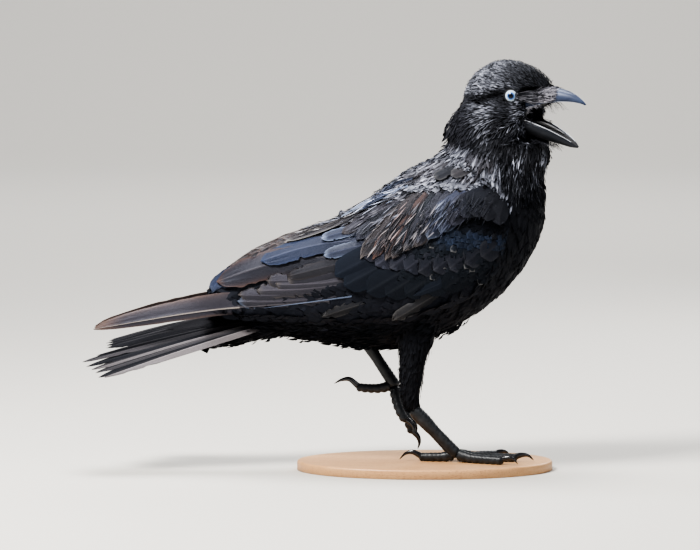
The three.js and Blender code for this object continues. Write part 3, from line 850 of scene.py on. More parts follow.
def scatter(wanted, spacing):
    """Roots at least spacing millimetres apart over the triangles that are wanted, each with its region."""
    chosen = np.flatnonzero(wanted)
    area = form_areas[chosen]
    tries = int(area.sum() / spacing**2 * 5)
    picks = chosen[chance.choice(len(chosen), size=tries, p=area / area.sum())]
    a, b = chance.random((2, tries, 1))
    over = a + b > 1
    a, b = np.where(over, 1 - a, a), np.where(over, 1 - b, b)
    corners = form_points[form_triangles[picks]]
    places = corners[:, 0] + a * (corners[:, 1] - corners[:, 0]) + b * (corners[:, 2] - corners[:, 0])
    cells = np.floor(places / spacing).astype(int)
    near = [(i, j, k) for i in (-1, 0, 1) for j in (-1, 0, 1) for k in (-1, 0, 1)]
    taken, kept = {}, []
    for index, (place, cell) in enumerate(zip(places.tolist(), cells.tolist())):
        x, y, z = cell
        around = (other for i, j, k in near for other in taken.get((x + i, y + j, z + k), ()))
        if all(math.dist(place, other) > spacing for other in around):
            taken.setdefault((x, y, z), []).append(place)
            kept.append(index)
    return list(zip(places[kept], form_regions[picks[kept]]))


def grow(place, region, length, spread, rows):
    """The path of a feather that follows the lie of the coat, turned a little at random."""
    return trail(place, heading_at(place, region) + chance.normal(0, spread, 3), length, rows)


print("lie of the coat:", len(LIE), "guides")


# %% [markdown]
# ### Colours of the plumage
# Fresh feathers are blue-black. Old ones bleach through soot to brown, and their rims wear pale or rufous.

# %% Plume colours
def colour_of(hex_colour):
    return np.array(linear(hex_colour)[:3])


INK = colour_of("#0b0b0f")
BLUE_BLACK = colour_of("#101622")
DEEP_BLUE = colour_of("#1b2842")
SOOT = colour_of("#19191d")
WORN_BROWN = colour_of("#3c342f")
RUFOUS = colour_of("#5c4337")
PALE_WORN = colour_of("#756c66")
SILVER = colour_of("#a3a09c")
BLUE_SILVER = colour_of("#7f8ca6")
VIOLET_GREY = colour_of("#34343f")
# A pale blue-grey that paints glints and sheen on glossy feathers, and in part worn silver tips.
WORN_SILVER_AND_SHEEN = colour_of("#a3a6b2")
GREEN_BLACK = colour_of("#10171a")

forward, left, up = head_places(form_centres)
side_x, side_z = form_centres[:, 0], form_centres[:, 2]
is_region = {region: form_regions == i for i, region in enumerate(REGIONS)}
by_eye = np.minimum(from_eye_axis(form_centres, -1), from_eye_axis(form_centres, 1)) < 5.6
in_mouth = (forward > 33.5) & (np.abs(left) < 12.5)
in_mouth &= (up < 294 + 0.12 * (forward - 40)) & (up > 281.5 - 0.5 * (forward - 35))
bare_jaw = (forward > 35) & (up > 269.5 - 0.24 * (forward - 37)) & (up < 283)
under_bristles = (forward > 35) & (up > 290) & (up < 303 + 5 * smooth(forward, 35, 42)) & (np.abs(left) > 2)
on_face = is_region["head"] & ~by_eye & ~in_mouth & ~bare_jaw & ~under_bristles
print("face triangles:", int(on_face.sum()))

# %% [markdown]
# No two feathers are quite alike, but neighbours are more alike than strangers: they grew, wore and got wet
# together. Slow waves through the bird's space give each feather a value that it shares with those round it.

# %% Shared variation
WAVES, PHASES = chance.normal(0, 1, (9, 3)), chance.uniform(0, 2 * math.pi, 9)


def patchy(place, size):
    """A soft value from 0 to 1 that turns over within so many millimetres."""
    waves = np.sin(WAVES @ np.asarray(place, float) * (1.6 / size) + PHASES)
    return float(np.clip(0.5 + 0.13 * waves.sum(), 0, 1))


def ridged(base, crest):
    """Colours over three columns of a narrow feather: a painted highlight along the crest, and both sides darker."""
    return np.stack([base, crest, base])[None]


print("patchiness over the back:", [round(patchy((x, -20, 220), 8), 2) for x in range(-40, 41, 10)])

# %% [markdown]
# ## Head
# The feathers of a crow's head are short and dense, like plush. On the crown they lie flat and gloss, behind
# the eye they part in a groove that is painted in shade, and the ear coverts shine silver, which is worn silver
# and painted sheen together. Each carries a painted highlight along its crest. They are narrow, so that the
# surface reads as fine strokes.

# %% Head feathers
EYELID_REACH = 5.4
MALAR_LINE = [(9, 266.5), (21, 273.5), (30, 278)]  # forward, up: the ridge of the jaw, with a painted highlight along it
GAPE_PATCH = [(30.5, 284), (32.5, 279), (35, 274)]  # the silvery skin and down behind the corner of the mouth


def clear_of_eyes(path, length):
    """How long a feather may be before it would lie over an eye."""
    gap = np.minimum(from_eye_axis(path[0], -1), from_eye_axis(path[0], 1))
    covered = np.flatnonzero(gap < EYELID_REACH)
    return length if not len(covered) else length * max(covered[0] - 0.6, 0) / (len(gap) - 1)


def silver_and_sheen_of_head(f, z):
    """How much silver the plumage gets, as worn silver and painted sheen: on the rear crown, over the eye and the ear.
    """
    rear = smooth(z, 300, 304) * (1 - smooth(f, 4, 22 + 0.5 * (z - 300)))
    rim = 0.5 * smooth(-f, 12, 24) * smooth(z, 292, 300) + 0.45 * smooth(z, 330, 334)
    arc = math.exp(-(((math.hypot(f - 25, z - 299.5) - 10.5) / 1.7) ** 2)) * float(z > 303) * (1 - smooth(f, 30, 34))
    ear = smooth(z, 266, 274) * (1 - smooth(z, 293, 297)) * (1 - smooth(f, 8, 22)) * smooth(f, -22, -12)
    lore = smooth(f, 27, 32) * (1 - smooth(z, 299, 302)) * smooth(z, 284, 287)
    malar = distance_to_line(np.array([[f, z]]), MALAR_LINE)[0]
    gape = distance_to_line(np.array([[f, z]]), GAPE_PATCH)[0]
    lines = 0.8 * math.exp(-((malar / 1.5) ** 2)) + 1.3 * math.exp(-((gape / 2.3) ** 2))
    return 1.1 * rear + rim + 0.9 * arc + 1.5 * ear + 1.3 * lore + lines


def in_groove(f, z, s):
    """1 at the bottom of the groove behind the eye, where hardly any light falls."""
    away = distance_to_line(np.array([[f, z]]), GROOVES[0][0])[0]
    return math.exp(-((away / 1.7) ** 2)) * float(abs(s) > 8)


head_sheaf = Sheaf("head_feathers")
for place, region in scatter(on_face, spacing=1.0):
    f, s, z = head_places(place)
    toward_bill = smooth(f, 12, 42)
    silver, shaded = silver_and_sheen_of_head(f, z), in_groove(f, z, s)
    length = chance.uniform(0.7, 1.25) * (7.2 - 3.6 * toward_bill)
    width = chance.uniform(0.6, 1.25) * (1.2 - 0.4 * toward_bill)
    heading = heading_at(place, region) + chance.normal(0, 0.2, 3)
    length = clear_of_eyes(trail(place, heading, length, 9), length)
    if length < 1.5:
        continue
    path = trail(place, heading, length, 5)
    luck = chance.random()
    # Bright strokes along each crest: worn silver and painted glints together; the groove behind the eye is painted in
    # shade.
    bright = luck**1.5 * (0.6 + 0.6 * patchy(place, 4.5))
    base = INK * (0.5 + 0.9 * luck) * (1 - 0.9 * shaded)
    crest = base + WORN_SILVER_AND_SHEEN * (0.18 + silver) * bright * (1 - shaded) * 0.95
    fringe = smooth(f, 36, 42) * smooth(z, 306, 310)
    lift = (-0.3, chance.uniform(0.3, 1.0) + (1.0 + 0.5 * fringe) * chance.random() ** 4)
    gloss = (0.35 + 0.35 * chance.random() + 0.35 * min(silver, 1)) * (1 - shaded)
    sides = base + (crest - base) * 0.45
    lay(head_sheaf, path, length, width, ridged(sides, crest), shape="pointed", lift=lift, ragged=0.2, roof=0.15,
        gloss=gloss)
head_sheaf.build(plush, "plumage")
# %% [markdown]
# ## Neck and throat
# The neck's feathers are longer, and on the throat they are hackles: narrow, pointed and glossy, each one
# catching the light by itself, with a painted glint along the crest of many. The throat's edge is ragged, and a
# few tufts stand out from the nape.

# %% Neck feathers
neck_sheaf = Sheaf("neck_feathers")
for place, region in scatter(is_region["neck"] | (is_region["trunk"] & (side_z > 226)), spacing=1.4):
    throat = smooth(place[0], 46, 76) * smooth(place[2], 205, 235)
    nape = smooth(-place[0], -48, -34) * smooth(place[2], 244, 262)
    high = smooth(place[2], 258, 274)
    length = chance.uniform(0.8, 1.3) * (12 + 7 * throat + 3 * nape) * (1 - 0.45 * high)
    width = chance.uniform(0.6, 1.2) * (2.1 - 0.5 * throat) * (1 - 0.4 * high)
    path = grow(place, region, length, 0.13 + 0.09 * throat, 6)
    hackled = smooth(place[2], 220, 242) * smooth(place[0], 40, 58) * (1 - nape) * (1 - 0.75 * high)
    luck, patch = chance.random(), patchy(place, 7)
    # Painted glints: clusters of hackles get a bright crest, and high on the neck the head's worn silver and painted
    # sheen.
    glint = smooth(luck, 0.45, 1.0) * smooth(patch, 0.15, 0.8) * hackled
    forward, _, up = head_places(place)
    silver = silver_and_sheen_of_head(forward, up) * high * (1 - nape) * luck**1.5 * (0.6 + 0.6 * patch)
    base = INK * chance.uniform(0.35, 1.2) + VIOLET_GREY * 0.25 * nape
    crest = base + WORN_SILVER_AND_SHEEN * (1.1 * glint + 2.0 * glint**5 + 0.05 * luck * hackled + 1.1 * silver)
    stray = chance.random() ** 5
    lift = (-0.5, chance.uniform(0.4, 1.3) + stray * (2.2 * throat + 1.0 * nape))
    gloss = chance.uniform(0.3, 0.7) * (1 - 0.6 * nape) + 0.3 * glint
    lay(neck_sheaf, path, length, width, ridged(base + (crest - base) * 0.3, crest), shape="pointed", lift=lift,
        ragged=0.2, roof=0.2, curl=1.6, gloss=gloss, shade=0.75)
neck_sheaf.build(hackle_gloss, "plumage")

# %% Tufts of the nape
TUFT_BARBS = 20
NAPE_TUFTS = [(302, 13, 2.5), (295, 15, 3.5), (288, 17, 5.0), (281, 18, 6.0), (274, 17, 6.0), (267, 15, 4.5)]
tuft_sheaf = Sheaf("nape_tufts")
for up, reach, lean in NAPE_TUFTS:  # height of the root, length, how far the tip stands off
    for _ in range(TUFT_BARBS):
        start = (24 + chance.normal(0, 2), chance.normal(-3, 6), up + chance.normal(0, 2.8))
        length = reach * chance.uniform(0.6, 1.2)
        heading = unit([-0.3 + chance.normal(0, 0.08), chance.normal(0, 0.1), -1])
        path = trail(start, heading, length, 7)
        width = chance.uniform(1.0, 1.9)
        lay(tuft_sheaf, path, length, width, INK * chance.uniform(0.8, 1.6) + VIOLET_GREY * 0.15,
            shape="pointed", lift=(-0.5, lean * chance.uniform(0.1, 1.0) ** 1.5), ragged=0.2, roof=0.2,
            curl=1.4, gloss=0.4)
tuft_sheaf.build(hackle_gloss, "plumage")

# %% [markdown]
# ## Breast, belly, back and thighs
# Contour feathers overlap like soft tiles. On the belly and the thighs they loosen into hair-like plumes, and
# on the back they are broad, worn brown at the tips.

# %% Body feathers
body_sheaf = Sheaf("body_feathers")
trunk_shown = is_region["trunk"] & (side_z <= 232)
for place, region in scatter(trunk_shown & ~((side_x < -124) & (side_z > 103) & (side_z < 124)), spacing=2.6):
    low = smooth(-place[2], -128, -104)
    back = float(place[2] > 175 + 0.55 * (place[0] + 20) and place[0] < 60)
    length = chance.uniform(0.85, 1.15) * (17 + 7 * low)
    width = chance.uniform(0.8, 1.2) * (5.5 - 2.0 * low + 0.5 * back)
    path = grow(place, region, length, 0.08 + 0.09 * low, 6)
    plume = INK * chance.uniform(0.6, 1.2)
    edge = None
    if back:
        plume = VIOLET_GREY * chance.uniform(0.5, 1.0) + WORN_BROWN * chance.uniform(0.0, 0.3)
        edge = plume + SILVER * 0.7 * chance.random() ** 2
    lift = (-0.5, chance.uniform(0.5, 1.4) + 1.6 * low * chance.random() + 1.2 * back * chance.random() ** 3)
    lay(body_sheaf, path, length, width, plume, columns=5, lift=lift, ragged=0.14 + 0.14 * low, edge=edge,
        gloss=chance.uniform(0.2, 0.7) * (1 - 0.6 * low) + 0.3 * back)
body_sheaf.build(body_keratin, "plumage")

# %% Loose plumes of the belly
plume_sheaf = Sheaf("belly_plumes")
for place, region in scatter(is_region["trunk"] & (side_z < 124) & (side_x > -150), spacing=3.0):
    length = chance.uniform(0.7, 1.3) * 20
    path = grow(place, region, length, 0.2, 7)
    droop = chance.uniform(0.5, 2.5) + 4.0 * chance.random() ** 4
    lay(plume_sheaf, path, length, chance.uniform(0.9, 2.2), INK * chance.uniform(0.6, 1.4), shape="hair",
        lift=(0.2, droop), ragged=0.3, camber=0, curl=1.5, gloss=0.3)
plume_sheaf.build(body_keratin, "plumage")

# %% Thigh feathers
thigh_sheaf = Sheaf("thigh_feathers")
for place, region in scatter(is_region["thigh"], spacing=1.9):
    length = chance.uniform(0.7, 1.3) * 12
    path = grow(place, region, length, 0.14, 5)
    plume = INK * chance.uniform(0.6, 1.5)
    lay(thigh_sheaf, path, length, chance.uniform(1.6, 2.8), plume, shape="pointed",
        lift=(-0.4, chance.uniform(0.3, 1.1) + 1.5 * chance.random() ** 6), ragged=0.2, gloss=0.35)
thigh_sheaf.build(body_keratin, "plumage")

# %% [markdown]
# ## Wings
# A folded wing shows its feathers in ranks. Small scale-like coverts cover the shoulder, longer ones come
# below and behind, then the broad tertials, the long secondaries, and the primaries past them all. Over the
# top lie the scapulars. Every feather here has its own place in the side view, given by its root and its tip.

# %% Wing tools
def side_place(side, x, z):
    """Where the side view's x and z meet the outside of the wing, and the surface's normal there."""
    hit, normal, _, _ = form_tree.ray_cast(Vector((x, side * 200, z)), Vector((0, -side, 0)))
    if hit is None or hit.y * side < 0:
        hit, normal, _, _ = form_tree.find_nearest(Vector((x, side * 22, z)))
    return np.array(hit), np.array(normal)


def side_trail(side, root, tip, bow, rows):
    """A path over the wing from root to tip in the side view, bowed upward by so many millimetres."""
    root, tip = np.array(root, float), np.array(tip, float)
    t = np.linspace(0, 1, rows)[:, None]
    way = tip - root
    bent = root + way * t + unit([way[1], -way[0]]) * bow * np.sin(np.pi * t)
    found = [side_place(side, x, z) for x, z in bent]
    places = smoothed(np.array([place for place, _ in found]), 6)
    normals = unit(smoothed(np.array([normal for _, normal in found]), 10))
    headings = unit(np.gradient(places, axis=0))
    return places, normals, headings, rooted(places[0])


THICKNESS = 0.24  # how much one feather on top of another adds


def lit_vane(plume, rows, columns, side, slope, fade):
    """The feather's colour, with painted light towards its upper edge by slope and painted shade towards its tip by
    fade.
    """
    t, u = np.linspace(0, 1, rows)[:, None, None], np.linspace(-1, 1, columns)[None, :, None]
    return np.asarray(plume, float) * (1 + slope * side * u) * (1 - fade * t**2)


def wing_feather(sheaf, side, root, tip, width, plume, layer, bow=0.0, edge=None, shape="round", rows=14,
                 columns=9, shaft=0.5, splits=2, ragged=0.02, tilt=0.7, roof=0.05, shade=0.4, gloss=0.9, slope=0.0,
                 fade=0.0, wavy=0.0):
    """One big feather of the folded wing. layer says how many feathers deep it rests on."""
    drift = chance.normal(0, 0.6, 2)
    plume = lit_vane(plume, rows, columns, side, slope, fade)
    path = side_trail(side, root, np.array(tip) + drift, bow, rows)
    length = float(np.linalg.norm(np.subtract(tip, root)))
    seat = 0.2 + THICKNESS * layer
    lay(sheaf, path, length, width, plume, columns=columns, shape=shape, lift=(seat - 1.2, seat + tilt),
        camber=0.07, ragged=ragged, edge=edge, patch=BIG_PATCH, shaft=shaft, splits=splits, roof=roof, shade=shade,
        curl=0.9, gloss=gloss, wavy=wavy)


print("wing tools ready")

# %% [markdown]
# ### The under-layer
# Below the big feathers the whole wing is first covered with plain coverts, so that no gap shows skin.

# %% Under-layer
wing_under = {}
for side, name in SIDES:
    sheaf = wing_under[side] = Sheaf(f"wing_{name}_coverts")
    wing = (is_region["secondaries"] | is_region["shoulder"]) & (form_centres[:, 1] * side > 0)
    for place, region in scatter(wing, spacing=5.5):
        on_ridge = smooth(place[2] - np.interp(place[0], RIDGE_X, RIDGE_Z), -14, -7)
        length = chance.uniform(0.9, 1.1) * (21 - 8 * on_ridge)
        path = grow(place, region, length, 0.05, 6)
        lay(sheaf, path, length, 12 - 7.5 * on_ridge, INK * chance.uniform(0.6, 1.2) + BLUE_BLACK * 0.5 * on_ridge,
            columns=5, lift=(-0.7, 0.5), ragged=0.08, gloss=chance.uniform(0.2, 0.6))

# %% [markdown]
# ### Secondaries and tertials
# The secondaries show as a few long brown strips with frayed edges, wavy where barbs have parted. The tertials
# over them are broad: a bluish one at the very back, a big brown one with a rufous rim, and fresh blue ones
# before them.

# %% Secondaries and tertials
SECONDARIES = [  # tip, root
    ((-153, 132.5), (-59, 140)), ((-154, 139), (-59, 146)), ((-137, 143), (-59, 150.5)), ((-122, 147.5), (-55, 154.5)),
    ((-131, 150), (-59, 160)), ((-112, 153), (-59, 164)),
]
TERTIALS = [  # root, tip, width, bow, colour, rim
    ((-104, 172), (-178, 141.5), 21, 3.5, DEEP_BLUE * 0.75 + VIOLET_GREY * 0.3, BLUE_BLACK * 1.8),
    ((-74, 171), (-168.5, 146.5), 26, 5.5, VIOLET_GREY * 0.38 + WORN_BROWN * 0.08, RUFOUS * 0.7),
    ((-60, 168), (-112, 155), 12, 0, SOOT * 0.8 + WORN_BROWN * 0.15, WORN_BROWN * 0.7),
    ((-56, 184), (-134, 163.5), 20, 3.0, DEEP_BLUE * 0.6 + VIOLET_GREY * 0.25, DEEP_BLUE * 1.2),
    ((-42, 182), (-83, 171), 11.5, 0.5, DEEP_BLUE * 0.4 + VIOLET_GREY * 0.25, BLUE_SILVER * 0.6),
    ((-42, 194), (-83, 183), 12.5, 1.0, DEEP_BLUE * 0.4 + VIOLET_GREY * 0.3, BLUE_SILVER * 0.7),
]


def wing_quills(side, name):
    quills = Sheaf(f"wing_{name}_quills")
    for i, (tip, root) in enumerate(SECONDARIES):
        plume = SOOT * 0.95 + WORN_BROWN * chance.uniform(0.15, 0.35) + VIOLET_GREY * 0.42
        edge = BLUE_SILVER * 0.4 if i == 0 else PALE_WORN * 0.35
        wing_feather(quills, side, root, tip, 14, plume, 1 + 0.9 * i, bow=-2, edge=edge, shape="blunt", rows=40,
                     columns=11, splits=4, roof=0.12, ragged=0.02, shade=0.25, shaft=0.2, slope=0.4, wavy=0.22)
    for i, (root, tip, width, bow, plume, edge) in enumerate(TERTIALS):
        wing_feather(quills, side, root, tip, width, plume, (1.0, 6.5, 7.0, 8.5, 10.0, 11.0)[i], bow=bow, edge=edge,
                     splits=(0, 3, 2, 1, 1, 1)[i], rows=30, columns=13, shape="scale", tilt=1.0, wavy=0.12,
                     slope=(0, 0.25, 0, 0.1, -0.2, 0)[i], gloss=0.75, shaft=(0.2, 0.9, 0.3, 0.6, 0.1, 0.1)[i])
    quills.build(quill_gloss, "flight_feather")


for side, name in SIDES:
    wing_quills(side, name)

# %% [markdown]
# ### Coverts
# Greater coverts lie over the roots of the secondaries in one rank of broad, rounded, blue-green tips. Median
# coverts lie over them, and lesser coverts cover the shoulder like scales, the bluest feathers of the bird.

# %% Coverts
GREATER = [(-74, 156), (-66, 147.5), (-49, 142.5), (-33, 141), (-17, 142), (-1, 143.5), (14, 146.5), (28, 151),
           (42, 157)]
MEDIAN = [(-52, 170), (-41, 165), (-30, 162), (-18, 160), (-6, 160), (6, 161), (18, 163), (31, 166), (44, 170)]


def wing_coverts(side):
    sheaf = wing_under[side]
    for i, tip in enumerate(GREATER):
        share = i / (len(GREATER) - 1)
        length = 50 - 14 * share
        way = unit([-0.88, -0.47 - 0.2 * share])
        root = np.array(tip) - way * length
        plume = GREEN_BLACK * 0.3 + DEEP_BLUE * chance.uniform(0.08, 0.18) * (1 - share) ** 3
        wing_feather(sheaf, side, root, tip, 23 - 4 * share, plume, 8.5 - 0.3 * i, edge=plume * 1.7, rows=12,
                     shape="scale", gloss=0.28 - 0.16 * share, shaft=0.2, slope=0.2)
    for i, tip in enumerate(MEDIAN):
        share = i / (len(MEDIAN) - 1)
        length = 30 - 6 * share
        root = np.array(tip) - unit([-0.84, -0.54 - 0.2 * share]) * length
        plume = INK * 1.1 + VIOLET_GREY * chance.uniform(0.1, 0.4) * (1 - share)
        wing_feather(sheaf, side, root, tip, 18, plume, 8.5, edge=plume * 1.8 + SILVER * 0.06 * chance.random(),
                     rows=10, columns=9, shape="scale", shaft=0.2, splits=3, gloss=0.55, ragged=0.05)
    streak = DEEP_BLUE * 0.1 + GREEN_BLACK * 0.45
    wing_feather(sheaf, side, (38, 163), (-9, 141), 8, streak, 9.5, edge=streak * 1.3, rows=10, shaft=0.2,
                 gloss=0.3)
    shoulder = is_region["shoulder"] & (form_centres[:, 1] * side > 12) & (side_z > 158) & (side_z < 212)
    for place, region in sorted(scatter(shoulder, spacing=3.2), key=lambda pair: pair[0][2] + 0.8 * pair[0][0]):
        length = chance.uniform(0.9, 1.1) * 11
        path = grow(place, region, length, 0.08, 6)
        # Painted shade: the coverts in the hollow under the scapulars' cap are painted near black and matt.
        hollow = smooth(place[2], 196, 199) * smooth(place[0], 22, 28)
        blue = smooth(place[2], 181, 189) * smooth(place[0], 10, 24) * (1 - hollow)
        plume = (GREEN_BLACK * 0.5 + INK * 0.2 + DEEP_BLUE * chance.uniform(0.2, 0.5) * blue) * (1 - 0.95 * hollow)
        # A few coverts get a pale fleck as a painted glint.
        fleck = SILVER * 0.5 * (chance.random() < 0.06) * (1 - hollow)
        lay(sheaf, path, length, 7, plume, columns=5, lift=(1.2, 2.2), ragged=0.12,
            edge=plume * (1.4 + 0.5 * blue) + fleck, gloss=(chance.uniform(0.2, 0.5) + 0.3 * blue) * (1 - hollow),
            shape="scale")
    sheaf.build(wing_gloss, "plumage")


for side, _ in SIDES:
    wing_coverts(side)

# %% [markdown]
# ### Scapulars and mantle
# Long, loose scapulars fall from the back over the wing. They are the most worn feathers: brown and silver, and
# frayed. Their edge that faces up is painted lighter, as lit, and towards their tips they are painted darker, as
# in the wing's shade. In front they end as a dark cap, and the hollow under it, over the blue shoulder, is
# painted in shade.

# %% Scapulars
SCAPULARS = [  # root, tip, width, colour, rim, painted light on its upper edge, painted shade at its tip
    ((-10, 233), (-54, 211), 9, DEEP_BLUE * 0.55 + INK, DEEP_BLUE, 0, 0.2),
    ((-44, 212), (-116, 185), 11, SOOT * 0.8 + WORN_BROWN * 0.4, SILVER * 0.55, 0.3, 0),
    ((-20, 214), (-67, 186), 15, VIOLET_GREY * 0.5 + WORN_BROWN * 0.2, WORN_BROWN * 0.7, 0.3, 0.3),
    # The narrow pale blue-silver feather below is a painted highlight.
    ((-14, 227), (-71, 196), 6, BLUE_SILVER * 0.75, WORN_SILVER_AND_SHEEN, 0.3, 0.4),
    ((-15, 215), (-56, 184), 15, INK * 1.0, VIOLET_GREY * 0.8, 0.5, -0.5),
    ((-8, 221), (-53, 170), 14, SOOT * 0.6 + WORN_BROWN * 0.5, PALE_WORN * 0.8, 0.6, 0.6),
    ((-4, 222), (-43, 168), 13, SOOT * 0.6 + WORN_BROWN * 0.4, RUFOUS * 1.2, 0.7, 0.7),
    ((1, 222), (-34, 168), 13, SOOT * 0.5 + RUFOUS * 0.5, PALE_WORN * 0.8, 0.7, 0.8),
    ((7, 222), (-26, 170), 14, SOOT * 0.4 + GREEN_BLACK * 0.5, WORN_BROWN * 1.2, 0.7, 0.8),
    ((13, 222), (-17, 175), 15, SOOT * 0.5 + VIOLET_GREY * 0.3, PALE_WORN * 0.7, 0.7, 0.8),
    ((19, 223), (-8, 180), 16, VIOLET_GREY * 0.6, WORN_BROWN, 0.6, 0.6),
    ((27, 223), (2, 186), 18, VIOLET_GREY * 0.6 + DEEP_BLUE * 0.5, BLUE_SILVER * 0.24, 0.5, 0.6),
    ((34, 223), (11, 191), 19, VIOLET_GREY * 0.65 + DEEP_BLUE * 0.5, BLUE_SILVER * 0.24, 0.5, 0.6),
    ((40, 224), (20, 197), 18, VIOLET_GREY * 0.55, VIOLET_GREY * 0.8, 0.4, 0.6),
    ((46, 226), (30, 202), 18, SOOT * 0.45 + DEEP_BLUE * 0.1, VIOLET_GREY * 0.5, 0.3, 0.4),
    ((52, 225), (39, 204.5), 18, SOOT * 0.3 + DEEP_BLUE * 0.06, SOOT * 0.6, 0.3, 0.4),
    ((57, 222), (48, 201), 17, INK * 0.8, SOOT * 0.6, 0.2, 0.4),
    ((63, 218), (58, 197.5), 15, INK * 0.7, SOOT * 0.5, 0.2, 0.4),
]
MANTLE_LIE = (-0.92, -0.38)


def worn_backs(sheaf, side):
    """Small frayed feathers over the roots of the scapulars, in brown and grey patches, silver with wear and painted
    glints.
    """
    upper = (is_region["secondaries"] | is_region["shoulder"] | is_region["trunk"])
    upper &= (form_centres[:, 1] * side > 0) & (side_x > -90) & (side_x < 60)
    upper &= side_z > 217 + 0.42 * np.minimum(side_x + 16, 0) - 0.05 * np.maximum(side_x, 0)
    for place, region in scatter(upper, spacing=1.75):
        length = chance.uniform(0.7, 1.25) * 15
        path = grow(place, region, length, 0.17, 6)
        patch, brown = patchy(place, 8), patchy(place + 90, 11)
        plume = INK * 0.6 + VIOLET_GREY * 0.4 * patch + WORN_BROWN * 0.45 * smooth(brown, 0.5, 0.8)
        # silver is worn silver and painted glints together, strongest along each crest.
        silver = chance.random() ** 1.5 * smooth(patch, 0.05, 0.75)
        lay(sheaf, path, length, chance.uniform(1.2, 3.2), ridged(plume, plume + WORN_SILVER_AND_SHEEN * 1.3 * silver),
            edge=plume + WORN_SILVER_AND_SHEEN * 0.9 * silver, ragged=0.3, gloss=chance.uniform(0.5, 1.0), roof=0.2,
            lift=(0.6, chance.uniform(1.1, 1.8) + 0.9 * chance.random() ** 5))


def loose_barbs(sheaf, side, root, tip, width, plume, light, layer, count=18):
    """Strands of a frayed feather that lie apart on it, light ones brightened with painted glints, and dark ones."""
    root, tip = np.array(root, float), np.array(tip, float)
    way = unit(tip - root)
    aside = np.array([way[1], -way[0]])
    reach = float(np.linalg.norm(tip - root))
    for _ in range(count):
        start = root + way * reach * chance.uniform(0.15, 0.75) + aside * width * chance.uniform(-0.42, 0.42)
        length = chance.uniform(7, 18)
        heading = way + aside * chance.normal(0, 0.13)
        seat = 0.5 + THICKNESS * layer
        strand = INK * 0.3 if chance.random() < 0.4 else np.asarray(plume) + light * chance.random() ** 1.5
        path = side_trail(side, start, start + heading * length, 0, 7)
        lay(sheaf, path, length, chance.uniform(0.5, 1.5), strand, shape="pointed", camber=0,
            lift=(seat, seat + chance.uniform(0.5, 1.3)), ragged=0.2, gloss=0.9, shade=0.3)


def silver_and_glint_row(sheaf, side, line, count, way, length, width, silver, lift):
    """Ragged bright tips along a line of (x, z) in the side view: worn silver, with painted glints."""
    stops = np.array(line, float)
    for t in np.linspace(0, 1, count):
        share = np.linspace(0, 1, len(stops))
        x, z = (np.interp(t, share, stops[:, axis]) + chance.normal(0, 1.3) for axis in (0, 1))
        place, _ = side_place(side, x, z)
        reach = length * chance.uniform(0.7, 1.2)
        heading = unit([way[0] + chance.normal(0, 0.2), 0, way[1]])
        path = trail(place - heading * reach * 0.6, heading, reach, 6)
        bright = WORN_SILVER_AND_SHEEN * silver * chance.uniform(0.25, 1.0)
        lay(sheaf, path, reach, width * chance.uniform(0.7, 1.3), ridged(SOOT + bright * 0.5, SOOT + bright),
            shape="pointed", edge=bright, ragged=0.3, lift=(0.8, lift * chance.uniform(0.7, 1.2)), gloss=0.9)


def rump_feathers(sheaf, side):
    rump = is_region["secondaries"] & (form_centres[:, 1] * side > 0) & (side_x <= -76) & (side_x > -144)
    rump &= (np.abs(form_centres[:, 1]) < 17) & (side_z > 0.46 * (side_x + 80) + 178)
    for place, _ in scatter(rump, spacing=4.5):
        length = chance.uniform(0.85, 1.1) * 26
        path = trail(place, unit([-0.88, -0.02 * side, -0.45]) + chance.normal(0, 0.05, 3), length, 9)
        plume = SOOT * 0.9 + WORN_BROWN * chance.uniform(0.1, 0.5)
        edge = plume + RUFOUS * 0.4 + SILVER * 0.4 * chance.random() ** 3
        lay(sheaf, path, length, 11, plume, columns=7, lift=(1.0, 1.6), ragged=0.05, edge=edge, shaft=0.3,
            splits=3)


def rounded_feathers(sheaf, side):
    """Two darker, rounder feathers that lie open on the mantle."""
    near, far = ((24, 243), (7, 233), SOOT * 0.4), ((37, 244), (21, 235), SOOT * 0.4 + WORN_BROWN * 0.25)
    for root, tip, plume in (near, far):
        wing_feather(sheaf, side, root, tip, 11, plume, 8, edge=SOOT * 0.3 + SILVER * 0.14, rows=10, columns=7,
                     shape="scale", tilt=1.6, shaft=0.1, gloss=0.35)


def wing_scapulars(side, name):
    sheaf = Sheaf(f"wing_{name}_scapulars")
    for i, (root, tip, width, plume, edge, slope, fade) in enumerate(SCAPULARS):
        over_hollow = 2.6 * smooth(i, 12, 15)
        wing_feather(sheaf, side, root, tip, width, plume, 9 + 0.3 * i, bow=2, edge=edge, rows=16, columns=13,
                     splits=2, tilt=0.8 + over_hollow, shaft=0.12, ragged=0.03, shade=0.3, slope=slope, fade=fade,
                     gloss=0.85 - 0.55 * smooth(i, 11, 14))
        if i < 16:
            light = edge * 1.6 + WORN_SILVER_AND_SHEEN * 0.4 * (i < 13)
            loose_barbs(sheaf, side, root, tip, max(width, 12), plume, light, 9 + 0.3 * i + over_hollow * 3)
    worn_backs(sheaf, side)
    rounded_feathers(sheaf, side)
    rump_feathers(sheaf, side)
    silver_and_glint_row(sheaf, side, [(45, 237), (55, 228), (67, 208)], 60, (-0.25, -1), 9, 2.4, 0.9, 3.2)
    mantle_rim = [(48, 229), (36, 226.5), (17, 228), (0, 225.5), (-14, 224)]
    silver_and_glint_row(sheaf, side, mantle_rim, 54, MANTLE_LIE, 11, 3.6, 1.0, 3.0)
    silver_and_glint_row(sheaf, side, [(38, 237), (27, 245), (19, 254)], 30, (-0.6, -0.7), 8, 2.2, 0.7, 2.2)
    sheaf.build(quill_gloss, "plumage")


for side, name in SIDES:
    wing_scapulars(side, name)

# %% [markdown]
# ### Where the breast meets the wing
# The breast's feathers reach back over the wing's leading edge and tuck it in, and two pale worn feathers poke
# out from under the wing's lower edge.

